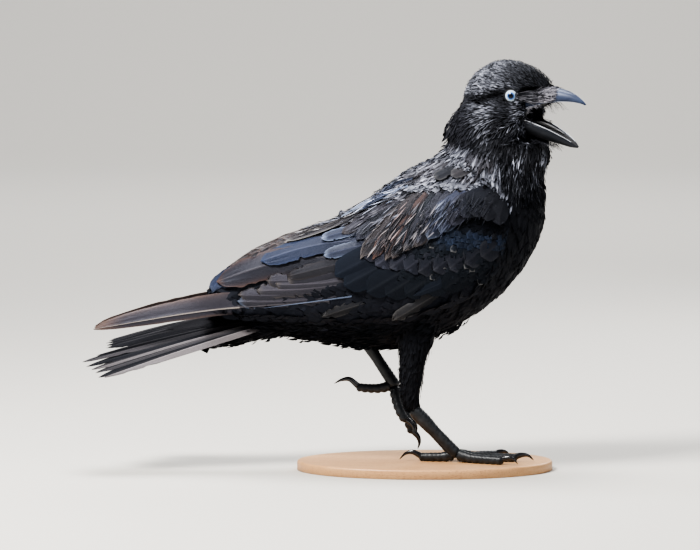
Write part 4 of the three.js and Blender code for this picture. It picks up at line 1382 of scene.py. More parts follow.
# %% Breast side and loose edge feathers
LOOSE_EDGE = [  # root, tip, width, how dark, how many feathers deep, how pale its rim
    ((9, 142), (-28, 120), 12, 1.0, 7, 0.16), ((-48, 134), (-86, 122), 10, 0.7, 4, 0.1),
]


def breast_sides():
    sheaf = Sheaf("breast_side_feathers")
    lead = (is_region["trunk"] | is_region["shoulder"] | is_region["neck"]) & (np.abs(form_centres[:, 1]) > 18)
    lead &= (side_z > 112) & (side_z < 232)
    edge_x = np.interp(side_z, [112, 126, 141, 161, 182, 203, 227, 240], [12, 16, 44, 60, 65, 67, 50, 40])
    lead &= (side_x > edge_x - 4) & (side_x < edge_x + 22)
    for place, region in scatter(lead, spacing=3.6):
        length = chance.uniform(0.85, 1.15) * 21
        path = grow(place, region, length, 0.09, 7)
        lay(sheaf, path, length, chance.uniform(5, 7), INK * chance.uniform(0.7, 1.4), columns=5,
            lift=(0.2, chance.uniform(1.6, 2.8)), ragged=0.15, gloss=chance.uniform(0.2, 0.5))
    for side, _ in SIDES:
        grey = SOOT * 0.7 + SILVER * 0.05
        for root, tip, width, dark, layer, pale in LOOSE_EDGE:
            wing_feather(sheaf, side, root, tip, width, grey * dark, layer, edge=grey + SILVER * pale, splits=6,
                         roof=0.15, ragged=0.08, gloss=0.4, slope=0.4, shape="scale")
        wing_feather(sheaf, side, (-60, 139), (-131, 128.5), 1.3, BLUE_SILVER * 0.7, 5, shape="hair", rows=24,
                     splits=0, shade=0.3, shaft=0)
    sheaf.build(body_keratin, "plumage")


breast_sides()

# %% [markdown]
# ### Primaries
# The longest feathers of the wing reach past all the others in a narrow stack. The longest lies on top here,
# with its shaft along the lower third of it, and the others look out from under its lower edge. Their surface
# is worn brown, with a pale shaft.

# %% Primaries
TIP_LINE = [(-182, 19.5), (-215, 15.5), (-246, 12.2), (-264, 10), (-275, 8.2)]
PRIMARIES = [  # tip, height where it leaves the wing, width
    ((-192.7, 120), 123, 11), ((-213, 116.5), 123.5, 12), ((-233.7, 114), 124, 12), ((-251.7, 111.2), 124.5, 13),
    ((-266.5, 108.8), 124.8, 15), ((-271.8, 108.6), 125.2, 19),
]


def primary_trail(side, root, tip, height, rows=30):
    """A path that leaves the wing's surface behind the secondaries and runs free to its tip."""
    t = np.linspace(0, 1, rows)
    x = root[0] + (tip[0] - root[0]) * t
    z = smoothed(np.interp(x, [tip[0], -182, root[0]], [tip[1], height, root[1]]), 14)
    places, normals = [], []
    for x_here, z_here in zip(x, z):
        if x_here > -172:
            place, normal = side_place(side, x_here, z_here)
        else:
            out = np.interp(x_here, *zip(*reversed(TIP_LINE)))
            place, normal = np.array([x_here, side * out, z_here]), np.array([-0.15, side, 0.12])
        places.append(place)
        normals.append(normal)
    places, normals = smoothed(np.array(places), 6), unit(smoothed(np.array(normals), 8))
    return places, normals, unit(np.gradient(places, axis=0)), rooted(places[0])


def wing_primaries(side, name):
    sheaf = Sheaf(f"wing_{name}_primaries")
    for i, (tip, height, width) in enumerate(PRIMARIES):
        path = primary_trail(side, (-78, 134.5), tip, height)
        length = float(np.linalg.norm(np.diff(path[0], axis=0), axis=1).sum())
        fresh = VIOLET_GREY * 0.6 + WORN_BROWN * chance.uniform(0.2, 0.4)
        bleached = smooth(np.linspace(0, 1, 30), 0.86, 1.0)[:, None, None]
        plume = fresh + (RUFOUS * 0.8 + PALE_WORN * 0.25 - fresh) * bleached
        seat = -1.6 + 0.36 * i
        longest = i == len(PRIMARIES) - 1
        lay(sheaf, path, length, width, plume, columns=13, shape="blade", lift=(seat, seat), camber=0.05,
            ragged=0.01, edge=RUFOUS * 0.7 + PALE_WORN * 0.3, patch=BIG_PATCH, shaft=1.6, splits=0 if longest else 2,
            uneven=0.4 * side, roof=0.12, shade=0.2, wavy=0.05)
        if longest:
            bare = tuple(part[11:] for part in path[:3]) + (rooted(path[0][11]),)
            lay(sheaf, bare, length * 0.62, 1.3, PALE_WORN + SILVER * 0.3, shape="hair", camber=0,
                ragged=0, lift=(seat + 0.5, seat + 0.3), shade=0.1)
    sheaf.build(quill_gloss, "flight_feather", [f"wing_{name}_primaries"])


for side, name in SIDES:
    wing_primaries(side, name)

# %% [markdown]
# ## Tail
# Twelve rectrices fan out from one root, the middle pair on top. The fan droops, and rolls towards the right,
# so that its upper side shows. Each lies a little lower than the one inside it, like roof slates seen from the
# side. The narrow outer vane of each carries a strip of painted sheen, and the rest of it is painted dark and
# dull as the shade of the feather above. The far ones stand apart from the others, bow upward, and show only
# as dark edges.

# %% Tail feathers
TAIL_ROOT = np.array([-112.0, 0.0, 121.5])
TAIL_DROOP, TAIL_ROLL = math.radians(13.6), math.radians(19)
TAIL_SPREAD = math.radians(11)
TAIL_LENGTH, TAIL_WIDTH = 174, 20
TAIL_FAN = [  # place in the fan from right (-1) to left (1), length, painted sheen on the outer vane
    (-1.0, 0.93, 0.95), (-0.93, 0.945, 0.0), (-0.68, 0.95, 0.2), (-0.5, 0.965, 0.68), (-0.3, 0.985, 0.0),
    (-0.06, 1.0, 0.25), (0.12, 0.93, 0.05), (0.5, 0.885, 0.05), (0.66, 0.89, 0.1), (0.8, 0.89, 0.05),
    (0.92, 0.885, 0.1), (1.0, 0.87, 0.15),
]


def tail_way(vector):
    """A direction in the tail's own frame, as one on the bird."""
    x, y, z = vector
    y, z = y * math.cos(TAIL_ROLL) - z * math.sin(TAIL_ROLL), y * math.sin(TAIL_ROLL) + z * math.cos(TAIL_ROLL)
    x, z = x * math.cos(TAIL_DROOP) - z * math.sin(TAIL_DROOP), x * math.sin(TAIL_DROOP) + z * math.cos(TAIL_DROOP)
    return np.array([x, y, z])


tail_sheaf = Sheaf("tail_feathers")
for place, reach, pale in sorted(TAIL_FAN, key=lambda row: -abs(row[0])):
    out, hand = abs(place), (1 if place > 0 else -1)
    turn = place * TAIL_SPREAD
    length = TAIL_LENGTH * reach
    heading = tail_way((-math.cos(turn), math.sin(turn), 0))
    normal = tail_way((0, math.sin(place * math.radians(12)), math.cos(place * math.radians(12))))
    root = TAIL_ROOT + tail_way((0, place * 6, 1.4 - out * 2.4))
    t = np.linspace(0, 1, 30)[:, None]
    bow = 1.5 + 5.0 * max(place, 0)
    places = root + heading * t * length + tail_way((0, 0, 1)) * bow * np.sin(np.pi * t) - normal * 0.5 * out
    headings = unit(np.gradient(places, axis=0))
    normals = np.broadcast_to(normal, places.shape)
    # Painted sheen: pale raises the colour and gloss, as light on the outer vane.
    plume = INK * 0.7 * (1 - pale) + (VIOLET_GREY * 0.7 + PALE_WORN * 0.5 + SILVER * 0.12) * pale
    lay(tail_sheaf, (places, normals, headings, rooted(root)), length, TAIL_WIDTH, plume, columns=17,
        shape="blade", lift=(0, 0), camber=0.05, ragged=0.02, edge=plume * 0.8 + WORN_BROWN * 0.2, patch=BIG_PATCH,
        shaft=0.8, splits=5, uneven=0.42 * hand, roof=0.2, shade=0.1, shaded_side=hand,
        gloss=0.15 + 0.75 * pale)
tail_sheaf.build(quill_gloss, "flight_feather", ["tail"])

# %% [markdown]
# ## Bill
# The bill is bone sheathed in horn: smooth, hard and slightly waxy, slate black with a bluish bloom. Each half
# is a trough. The upper one is arched over a hollow palate and hooks down at its tip, and the lower one is a
# pair of blades that meet in a keel. Each is lofted through sections with sharp cutting edges.

# %% Bill horn
def horn_grain(dark, light):
    """Fine growth lines along the bill, with scuffs, between two shades of horn."""

    def build(tree):
        place = add(tree, "ShaderNodeTexCoord").outputs["Object"]
        stretch = add(tree, "ShaderNodeMapping", {"Scale": (50.0, 130.0, 130.0)}, {"Vector": place})
        streaks = add(tree, "ShaderNodeTexNoise", {"Scale": 1.0, "Detail": 6.0, "Roughness": 0.6}, {"Vector": stretch})
        scuffs = add(tree, "ShaderNodeTexNoise", {"Scale": 700.0, "Detail": 4.0}, {"Vector": place})
        shade = add(tree, "ShaderNodeMapRange", {1: 0.35, 2: 0.7}, {0: streaks})
        colour = add(tree, "ShaderNodeMix", {"data_type": "RGBA", "A": linear(dark), "B": linear(light)},
                     {"Factor": shade})
        rough = add(tree, "ShaderNodeMapRange", {1: 0.3, 2: 0.7, 3: 0.34, 4: 0.48}, {0: scuffs})
        bump = add(tree, "ShaderNodeBump", {"Strength": 0.2, "Distance": 0.0001}, {"Height": scuffs})
        return {"Base Color": colour.outputs["Result"], "Roughness": rough, "Normal": bump}

    return build


HORN_FINISH = {"IOR": 1.5, "Coat Weight": 0.08, "Coat Roughness": 0.25, "Specular Tint": linear("#cfd8ee")}
horn = new_material("bill_horn", HORN_FINISH, horn_grain("#272d40", "#424b5f"))
lower_horn = new_material("lower_bill_horn", HORN_FINISH, horn_grain("#131416", "#29292b"))
worn_horn = new_material("worn_horn_edge", HORN_FINISH, horn_grain("#6b6f7c", "#a3a7b3"))
# The lower lips: pale worn horn and a painted highlight together.
pale_horn_and_highlight = new_material("pale_horn_edge_and_highlight", HORN_FINISH, horn_grain("#a2a4aa", "#d2d4d8"))
RINGS, AROUND, HOLLOW = 44, 20, 0.45  # along the bill, round it, and how deep its trough is


def spline(values, count):
    """A smooth curve through the values, as count evenly spaced readings."""
    values = np.array(values, float)
    padded = np.concatenate([[2 * values[0] - values[1]], values, [2 * values[-1] - values[-2]]])
    out = []
    for t in np.linspace(0, len(values) - 1, count):
        i = min(int(t), len(values) - 2)
        f = t - i
        a, b, c, d = padded[i : i + 4]
        out.append(0.5 * (2 * b + (c - a) * f + (2 * a - 5 * b + 4 * c - d) * f**2 + (3 * b - a - 3 * c + d) * f**3))
    return np.array(out)


def spline_3d(places, count):
    return np.stack([spline(np.array(places)[:, axis], count) for axis in range(3)], axis=1)


def tube_rings(path, turn, first, wide, second, high):
    """Rings round a path. wide and high are its reach along two directions, which may differ from place to place."""
    first, second = (np.broadcast_to(way, path.shape)[:, None] for way in (first, second))
    wide, high = (np.broadcast_to(np.array(reach).T, (len(turn), len(path))).T[..., None] for reach in (wide, high))
    turn = turn[None, :, None]
    return path[:, None] + np.cos(turn) * wide * first + np.sin(turn) * high * second


def mesh_of_rings(name, rings, caps=True):
    """A smooth mesh through rings of places that all have the same count."""
    count, around = rings.shape[:2]
    index = np.arange(count * around).reshape(count, around)
    after = np.roll(index, -1, axis=1)
    faces = np.stack([index[:-1], after[:-1], after[1:], index[1:]], axis=-1).reshape(-1, 4).tolist()
    if caps:
        faces += [index[0][::-1].tolist(), index[-1].tolist()]
    mesh = bpy.data.meshes.new(name)
    mesh.from_pydata(to_metres(rings.reshape(-1, 3)).tolist(), [], faces)
    tidy = bmesh.new()
    tidy.from_mesh(mesh)
    bmesh.ops.recalc_face_normals(tidy, faces=tidy.faces)
    tidy.to_mesh(mesh)
    tidy.free()
    mesh.polygons.foreach_set("use_smooth", [True] * len(mesh.polygons))
    return mesh


def read_sections(sections, count):
    """The top, the bottom and the half width of count sections along one half of the bill or the tongue."""
    return [spline([section[i] for section in sections], count) for i in range(3)]


def bill_rings(sections, upward):
    """Rings round one half of the bill: over the outside, then back through its hollow side."""
    tops, bottoms, halves = read_sections(sections, RINGS)
    turn = np.linspace(-math.pi / 2, math.pi / 2, AROUND)
    outside = np.stack([np.sin(turn) * np.abs(np.sin(turn)) ** -0.15, np.cos(turn) ** 0.8], axis=1)
    inner = np.linspace(1, -1, AROUND)[1:-1]
    inside = np.stack([inner * 0.93, (1 - inner**2) * HOLLOW], axis=1)
    aside, share = np.concatenate([outside, inside]).T
    rings = []
    for top, bottom, half in zip(tops, bottoms, np.maximum(halves, 0.25)):
        edge, ridge = (bottom, top) if upward else (top, bottom)
        forward, height = (edge[i] + (ridge[i] - edge[i]) * share for i in range(2))
        rings.append(in_head(forward, aside * half, height))
    return np.array(rings)


def wet_skin(dark, light):
    """Skin in soft folds of about 4 mm."""
    return speckled(dark, light, 260.0, 4.0, 0.5, 0.4)


mouth_skin = new_material("mouth_skin", {"Roughness": 0.45, "IOR": 1.4}, wet_skin("#050506", "#141317"))


def bill_half(name, sections, upward, outside, replaces):
    """One half of the bill, with horn outside and mouth skin in its hollow."""
    mesh = mesh_of_rings(name, bill_rings(sections, upward))
    mesh.materials.append(outside)
    mesh.materials.append(mouth_skin)
    per_ring = 2 * AROUND - 2
    walls = per_ring * (RINGS - 1)
    hollow = [int(AROUND <= i % per_ring < per_ring - 1 and i < walls) for i in range(len(mesh.polygons))]
    mesh.polygons.foreach_set("material_index", hollow)
    return finish_piece(name, mesh, None, [replaces])


bill_half("bill_upper_horn", UPPER_SECTIONS, True, horn, "bill_upper")
bill_half("bill_lower_horn", LOWER_SECTIONS, False, lower_horn, "bill_lower")
print("bill ready")

# %% [markdown]
# The cutting edges are worn thin and pale by use. On each a fine rounded lip runs from the gape to the tip, and the
# lower lips are paler still, a painted highlight where the edge faces up.

# %% Cutting edges
def cutting_edge(name, sections, row, side, thick, finish):
    """A lip along one cutting edge: row 1 of the sections for the upper bill, row 0 for the lower."""
    readings = read_sections(sections[:-1], 50)
    places, halves = readings[row], readings[2]
    path = in_head(places[:, 0], side * (halves + 0.05), places[:, 1])
    along = unit(np.gradient(path, axis=0))
    out = head_way(0, side, 0)
    radius = thick * np.linspace(1.0, 0.45, 50)
    rings = tube_rings(path, full_turn(10), out, radius, unit(np.cross(along, out)), radius)
    finish_piece(name, mesh_of_rings(name, rings), finish)


for side, name in SIDES:
    cutting_edge(f"lower_edge_{name}", LOWER_SECTIONS, 0, side, 0.55, pale_horn_and_highlight)
    cutting_edge(f"upper_edge_{name}", UPPER_SECTIONS, 1, side, 0.22, worn_horn)
print("cutting edges ready")

# %% [markdown]
# ## Mouth
# Inside the open bill a grown crow's mouth is black, wet skin. It runs as a funnel from the cutting edges of
# both halves back to the throat. At each corner a fold of paler skin stretches when the bill opens.

# %% Mouth lining and tongue
gape_skin = new_material("gape_skin", {"Roughness": 0.5}, wet_skin("#333236", "#86837f"))
THROAT = (17, 281)


def funnel(rings=16, around=40):
    """From a mouth-shaped ring between the two halves of the bill, narrowing back to the throat."""
    turn = full_turn(around)
    rise = np.sin(turn)
    out = []
    for t in np.linspace(0, 1, rings):
        ring_f = 38.0 + 17 * np.abs(rise) ** 2.2
        ring_s = 10.2 * np.sign(np.cos(turn)) * np.abs(np.cos(turn)) ** 0.7 * (1 - 0.25 * rise**2)
        ring_z = np.where(rise > 0, 286 + 12.5 * rise, 286 + 15.5 * rise)
        ease = t**0.8
        f = ring_f * (1 - ease) + THROAT[0] * ease
        s = ring_s * (1 - 0.75 * ease)
        z = ring_z * (1 - ease) + THROAT[1] * ease + rise * 2 * ease
        out.append(in_head(f, s, z))
    return np.array(out)


lining = mesh_of_rings("mouth_lining", funnel(), caps=False)
finish_piece("mouth_lining", lining, mouth_skin)
TONGUE_SECTIONS = [((40, 280.2), (39.6, 278.6), 4), ((48, 278), (47.5, 275.8), 3.8),
                   ((57, 274.2), (56.3, 272.2), 2.8), ((64, 270.2), (63.6, 269.4), 0.9)]


def tongue_rings(rings=24, around=20):
    turn = full_turn(around)
    out = []
    for top, bottom, half in zip(*read_sections(TONGUE_SECTIONS, rings)):
        middle, reach = (top + bottom) / 2, (top - bottom) / 2
        groove = 0.35 * np.exp(-((np.cos(turn) / 0.3) ** 2)) * (np.sin(turn) > 0)
        out.append(in_head(middle[0] + reach[0] * np.sin(turn), half * np.cos(turn),
                           middle[1] + reach[1] * (np.sin(turn) - groove)))
    return np.array(out)


tongue = mesh_of_rings("tongue_flesh", tongue_rings())
finish_piece("tongue_flesh", tongue, mouth_skin, ["tongue"])
print("mouth ready")

# %% Corners of the gape
GAPE_LINE = [(46, 9.6, 293.8), (39, 11.0, 291.2), (35.4, 12.0, 286.5), (34.2, 12.6, 282.2), (36.5, 12.6, 280.2),
             (46, 11.5, 277.4)]


def gape_fold(side, name):
    """A soft roll of skin that runs from one cutting edge round the corner to the other."""
    forward, left, up = spline_3d(GAPE_LINE, 40).T
    path = in_head(forward, side * left, up)
    along, out = unit(np.gradient(path, axis=0)), head_way(0, side, 0)
    share = np.linspace(0, 1, 40)
    thick = 0.35 + 0.75 * np.sin(np.pi * share) ** 2 + 0.12 * np.sin(share * 60)
    rings = tube_rings(path, full_turn(14), out, thick * 0.8, unit(np.cross(along, out)), thick)
    mesh = mesh_of_rings(f"gape_fold_{name}", rings)
    finish_piece(f"gape_fold_{name}", mesh, gape_skin)


for side, name in SIDES:
    gape_fold(side, name)
print("gape ready")

# %% [markdown]
# ## Bristles
# Stiff, hair-like feathers lie forward from the forehead over the upper bill and hide the nostrils. They are
# worn to a dusty brown. Shorter ones stand round the corners of the mouth and under the lower bill.

# %% Nasal and rictal bristles
def tree_of(piece):
    mesh = piece.data
    mesh.calc_loop_triangles()
    points = to_millimetres([v.co for v in mesh.vertices])
    return BVHTree.FromPolygons(points.tolist(), [t.vertices for t in mesh.loop_triangles])


upper_tree = tree_of(bpy.data.objects["bill_upper_horn"])
DUST = colour_of("#b2b0b8")


def cheek_trail(side, start, end, rows=6):
    """A path from start to end, both (forward, up), over whatever is outermost there: face or horn."""
    places, normals = [], []
    inward = Vector(head_way(0, -side, 0))
    for t in np.linspace(0, 1, rows):
        f, z = np.array(start) + (np.array(end) - start) * t
        origin = Vector(in_head(f, side * 60, z))
        hits = [hit for hit in (tree.ray_cast(origin, inward, 60) for tree in (form_tree, upper_tree)) if hit[0]]
        if hits:
            place, normal, _, _ = min(hits, key=lambda hit: hit[3])
            places.append(place[:])
            normals.append(normal[:])
    if len(places) < rows:
        return None
    places = smoothed(np.array(places), 10)
    return places, unit(smoothed(np.array(normals), 4)), unit(np.gradient(places, axis=0)), rooted(places[0])


BRISTLE_ROOT = (29.5, 297.5)  # the bristles fan out from here, forward over the horn
NASAL_BRISTLES, GAPE_BRISTLES, LIP_BRISTLES, CHIN_BRISTLES = 3200, 260, 26, 60  # tried on each side
CULMEN_BRISTLES = 420


def nasal_bristles():
    sheaf = Sheaf("nasal_bristles")
    for side in (-1, 1):
        for _ in range(NASAL_BRISTLES):
            rise = 5.5 * chance.random() ** 1.5
            angle = chance.uniform(-0.16, 0.62 - 0.08 * rise)
            far = 33.5 - 9.0 * abs(angle - 0.14) - abs(chance.normal(0, 5.0))
            near = chance.uniform(0, 1) ** 1.2 * (far - 4)
            length = min(far - near, chance.uniform(7, 14))
            way = np.array([math.cos(angle), math.sin(angle) * (1 - 0.32 * near / far)])
            start = BRISTLE_ROOT + way * near + (0, rise)
            end = start + (way + (0, chance.normal(-0.05, 0.11))) * length
            ceiling = 304 + 5 * smooth(end[0], 33, 40)
            if max(start[1], end[1]) > ceiling:
                continue
            path = cheek_trail(side, start, end)
            if path is None:
                continue
            pale = smooth(start[0], 34, 46) * 0.75 + 0.25 * patchy(in_head(*start, 0), 4)
            dusty = float(chance.random() < 0.4 + 0.3 * pale) * chance.uniform(0.2, 1.0)
            slit = np.exp(-(((path[0] - in_head(50.5, side * 9, 299.8)) ** 2).sum(axis=1)) / 3.5)[:, None, None]
            plume = (INK * 0.8 + DUST * dusty * (0.45 + 0.9 * pale)) * (1 - 0.93 * slit)
            lay(sheaf, path, length, chance.uniform(0.45, 0.9), plume, shape="hair", camber=0, ragged=0.2,
                lift=(chance.uniform(0.2, 1.0), chance.uniform(0.3, 1.6)), gloss=0.5, shade=0.3)
    for _ in range(CULMEN_BRISTLES):
        turn = chance.uniform(-0.65, 0.65)
        f = chance.uniform(46, 53)
        heading = head_way(1, -0.2 * turn + chance.normal(0, 0.1), chance.normal(0, 0.05))
        path = trail(in_head(f, 9 * math.sin(turn), 309), heading, 57 - f, 6, upper_tree)
        lay(sheaf, path, 57 - f, chance.uniform(0.5, 0.9), INK + DUST * chance.uniform(0.05, 0.6),
            shape="hair", camber=0, ragged=0.2, lift=(0.3, chance.uniform(0.3, 1.2)), gloss=0.5, shade=0.3)
    sheaf.build(hackle_gloss, "plumage")


def free_bristle(sheaf, start, aim, length, width, plume, side):
    """A stiff hair that stands off the face, bending a little as it goes."""
    t = np.linspace(0, 1, 6)[:, None]
    places = start + aim * t * length + head_way(0, 0, -1) * 0.12 * length * t**2
    normals = np.broadcast_to(head_way(0, side, 0.1), places.shape)
    path = (places, normals, np.broadcast_to(aim, places.shape), rooted(start))
    lay(sheaf, path, length, width, plume, shape="hair", camber=0, lift=(0, 0), ragged=0.1, gloss=0.6, shade=0.2)


def rictal_bristles():
    """Along the upper edge of the gape and round its corners, pointing forward and outward."""
    sheaf = Sheaf("rictal_bristles")
    corner = spline_3d(GAPE_LINE, 50)
    for side in (-1, 1):
        for _ in range(GAPE_BRISTLES):
            share = chance.random()
            f, s, z = corner[int(share * 49)]
            back, out = chance.uniform(0.5, 4), chance.uniform(0.4, 2.0)
            start = in_head(f - back, side * (s + out), z + chance.normal(0, 1.3))
            upper = smooth(0.5 - share, -0.1, 0.2)
            aside, rise = side * chance.uniform(-0.25, 0.3), -0.35 * upper + 0.3 * (1 - upper)
            aim = head_way(1, aside, rise + chance.normal(0, 0.25))
            plume = INK * chance.uniform(1, 2) + DUST * (0.1 + 0.9 * upper) * chance.random() ** 2
            free_bristle(sheaf, start, aim, chance.uniform(2.0, 4.5), chance.uniform(0.2, 0.4), plume, side)
        for _ in range(LIP_BRISTLES):
            f = chance.uniform(40, 54)
            start = in_head(f, side * chance.uniform(8.5, 10), 294.5 + 0.12 * (f - 40))
            aim = head_way(1, side * chance.uniform(-0.1, 0.35), -chance.uniform(0.5, 1.3))
            free_bristle(sheaf, start, aim, chance.uniform(6, 12), 0.22, INK * 1.5, side)
        for _ in range(CHIN_BRISTLES):
            f = chance.uniform(36, 56)
            start = in_head(f, side * chance.uniform(1, 8.5), 266 - 0.25 * (f - 36))
            aim = head_way(1, side * chance.uniform(-0.1, 0.3), -chance.uniform(0.3, 1.2))
            free_bristle(sheaf, start, aim, chance.uniform(4, 8), 0.3, INK * 1.5, side)
    sheaf.build(hackle_gloss, "plumage")


nasal_bristles()
rictal_bristles()

# %% [markdown]
# ## Eyes
# The eye is a wet ball set in its socket. A grown bird's iris is white, with a ring of pale blue round the pupil
# and a dark rim where it meets the lids. The ball is turned about the way it looks, so that its rings are true
# circles, and its front swells into the cornea.

# %% Eyes
def eye_rings_material(tree):
    """Rings by the distance from the eye's axis, in millimetres."""
    ring = add(tree, "ShaderNodeAttribute", {"attribute_name": "ring"})
    parts = add(tree, "ShaderNodeSeparateXYZ", links={0: ring.outputs["Vector"]})
    polar = add(tree, "ShaderNodeCombineXYZ", {"Y": 0.0}, {"X": parts.outputs["Y"], "Z": parts.outputs["Z"]})
    fibres = add(tree, "ShaderNodeTexNoise", {"Scale": 5.0, "Detail": 3.0}, {"Vector": polar})
    wobble = add(tree, "ShaderNodeMath", {"operation": "MULTIPLY_ADD", 1: 0.35, 2: -0.17}, {0: fibres})
    radius = add(tree, "ShaderNodeMath", {"operation": "ADD"}, {0: parts.outputs["X"], 1: wobble})
    share = add(tree, "ShaderNodeMath", {"operation": "DIVIDE", 1: 6.0}, {0: radius})
    ramp = add(tree, "ShaderNodeValToRGB", links={"Fac": share})
    stops = [(0.0, "#020308"), (0.3, "#050b1e"), (0.36, "#1a335f"), (0.44, "#466fae"), (0.53, "#86a8d0"),
             (0.62, "#bfd0e2"), (0.73, "#cad3dc"), (0.79, "#7f8894"), (0.85, "#0a0b0e")]
    while len(ramp.color_ramp.elements) < len(stops):
        ramp.color_ramp.elements.new(0.5)
    for element, (place, colour) in zip(ramp.color_ramp.elements, stops):
        element.position = place
        element.color = linear(colour)
    return {"Base Color": ramp}


# A wet cornea over a matt iris: the coat has the refraction of water and tears, and hardly any roughness.
WET_EYE = {"Roughness": 0.3, "Specular IOR Level": 0.1, "Coat Weight": 1.0, "Coat IOR": 1.38, "Coat Roughness": 0.02}
iris = new_material("white_iris", WET_EYE, eye_rings_material)
lid_skin = new_material("eyelid_skin", {"Roughness": 0.65}, wet_skin("#08080a", "#3a393d"))


def eyeball(side, name):
    middle, look, level, up = eye_frame(side)
    turn = full_turn(48)
    around = np.cos(turn)[:, None] * level + np.sin(turn)[:, None] * up
    rings, radii = [], []
    for angle in np.linspace(0.02, math.radians(115), 34):
        reach = EYE_RADIUS * math.sin(angle)
        swell = 0.5 * math.exp(-((reach / 2.6) ** 2)) * (angle < math.pi / 2)
        rings.append(middle + look * (EYE_RADIUS * math.cos(angle) + swell) + around * reach)
        radii.append(reach if angle < math.pi / 2 else 6)
    mesh = mesh_of_rings(f"eyeball_{name}", np.array(rings))
    ring = mesh.attributes.new("ring", "FLOAT_VECTOR", "POINT")
    values = [(radius, math.cos(a), math.sin(a)) for radius in radii for a in turn]
    ring.data.foreach_set("vector", np.array(values).ravel())
    return finish_piece(f"eyeball_{name}", mesh, iris, [f"eye_{name}"])


def eyelids(side, name):
    """A rolled rim round the opening, thicker above, that thins outward onto the face."""
    middle, look, level, up = eye_frame(side)
    turn = full_turn(64)
    rings = []
    for radius, depth in ((5.15, -0.6), (5.05, -0.15), (5.12, 0.1), (5.3, 0.2), (5.6, 0.0), (6.0, -0.8), (6.9, -2.4)):
        opening = radius + 0.12 * np.cos(2 * turn)
        seat = math.sqrt(EYE_RADIUS**2 - 5.15**2) + 0.5 + depth
        brow = 0.25 * np.maximum(np.sin(turn), 0)
        wrinkle = 0.1 * np.sin(turn * 23 + radius * 4)
        rings.append(middle + look * (seat + brow + wrinkle)[:, None]
                     + (np.cos(turn) * opening)[:, None] * level
                     + (np.sin(turn) * (opening - brow))[:, None] * up)
    mesh = mesh_of_rings(f"eyelids_{name}", np.array(rings), caps=False)
    return finish_piece(f"eyelids_{name}", mesh, lid_skin)


for side, name in SIDES:
    eyeball(side, name)
    eyelids(side, name)
print("eyes ready")

# %% [markdown]
# ## Legs and feet
# Below the thigh feathers the leg is bare. Large scutes overlap down its front and along the top of each toe,
# the back is a smooth sheath, and under the toes are soft pads between the joints. They are tubes whose
# radius rises and steps with each scute, which costs a few thousand faces and holds up close.

# %% Leg skin and claws
def scaly(tree):
    place = add(tree, "ShaderNodeTexCoord")
    cells = add(tree, "ShaderNodeTexVoronoi", {"Scale": 900.0, "feature": "DISTANCE_TO_EDGE"},
                {"Vector": place.outputs["Object"]})
    dust = add(tree, "ShaderNodeTexNoise", {"Scale": 220.0, "Detail": 5.0}, {"Vector": place.outputs["Object"]})
    shade = add(tree, "ShaderNodeMapRange", {1: 0.3, 2: 0.75}, {0: dust})
    colour = add(tree, "ShaderNodeMix", {"data_type": "RGBA", "A": linear("#111316"), "B": linear("#303337")},
                 {"Factor": shade})
    bump = add(tree, "ShaderNodeBump", {"Strength": 0.5, "Distance": 0.0003}, {"Height": cells})
    return {"Base Color": colour.outputs["Result"], "Normal": bump}


leg_scale = new_material("leg_scale", {"Roughness": 0.42, "IOR": 1.5}, scaly)
claw_horn = new_material("claw_horn", {"Roughness": 0.22, "IOR": 1.56, "Coat Weight": 0.3},
                         speckled("#08080a", "#1b1a1e", 500.0, 3.0, 0.25, 0.1))

SCUTE, PAD = 3.4, 5.2  # how long one scute and one pad are, in mm
LEGS = {
    "right": {
        "ankle": (-8.6, -16.8, 42.5), "foot": (25, -13, 6.6), "thick": 1.22,
        "toes": {"outer": [(38, -22, 4), (52, -29, 3.6), (64, -34, 3.4)],
                 "middle": [(43, -14, 4.2), (60, -14, 3.7), (76, -14, 3.4)],
                 "inner": [(38, -5, 4), (50, 2, 3.6), (60, 7, 3.4)],
                 "hind": [(15, -12, 4), (4, -10.5, 3.6), (-5, -9, 3.4)]},
        "claws": {"outer": (12, 2.4, 1.8), "middle": (13, 2.4, 1.8), "inner": (12, 2.4, 1.8), "hind": (16, 4, 1.8)},
    },
    "left": {
        "ankle": (-53.5, 22.5, 103.5), "foot": (-25, 15, 60.5), "thick": 1.12,
        "toes": {"outer": [(-21, 20, 49.5), (-16.5, 23, 38), (-12, 24.5, 28)],
                 "middle": [(-20, 14, 47), (-14.5, 13, 33), (-9.4, 12.5, 20)],
                 "inner": [(-23.5, 9, 49), (-20, 5, 39), (-15, 3, 31)],
                 "hind": [(-37, 15.5, 57.6), (-47, 16, 57.5), (-56.5, 16, 58.6)]},
        "claws": {"outer": (12, 2.8, 1), "middle": (13, 2.8, 1), "inner": (12, 2.8, 1), "hind": (18, 5.6, -0.6)},
    },
}


def curve_through(corners, step):
    """A smooth run of places through the corners, about one step apart."""
    corners = np.array(corners, float)
    length = np.linalg.norm(np.diff(corners, axis=0), axis=1).sum()
    return spline_3d(corners, max(int(length / step), 8))


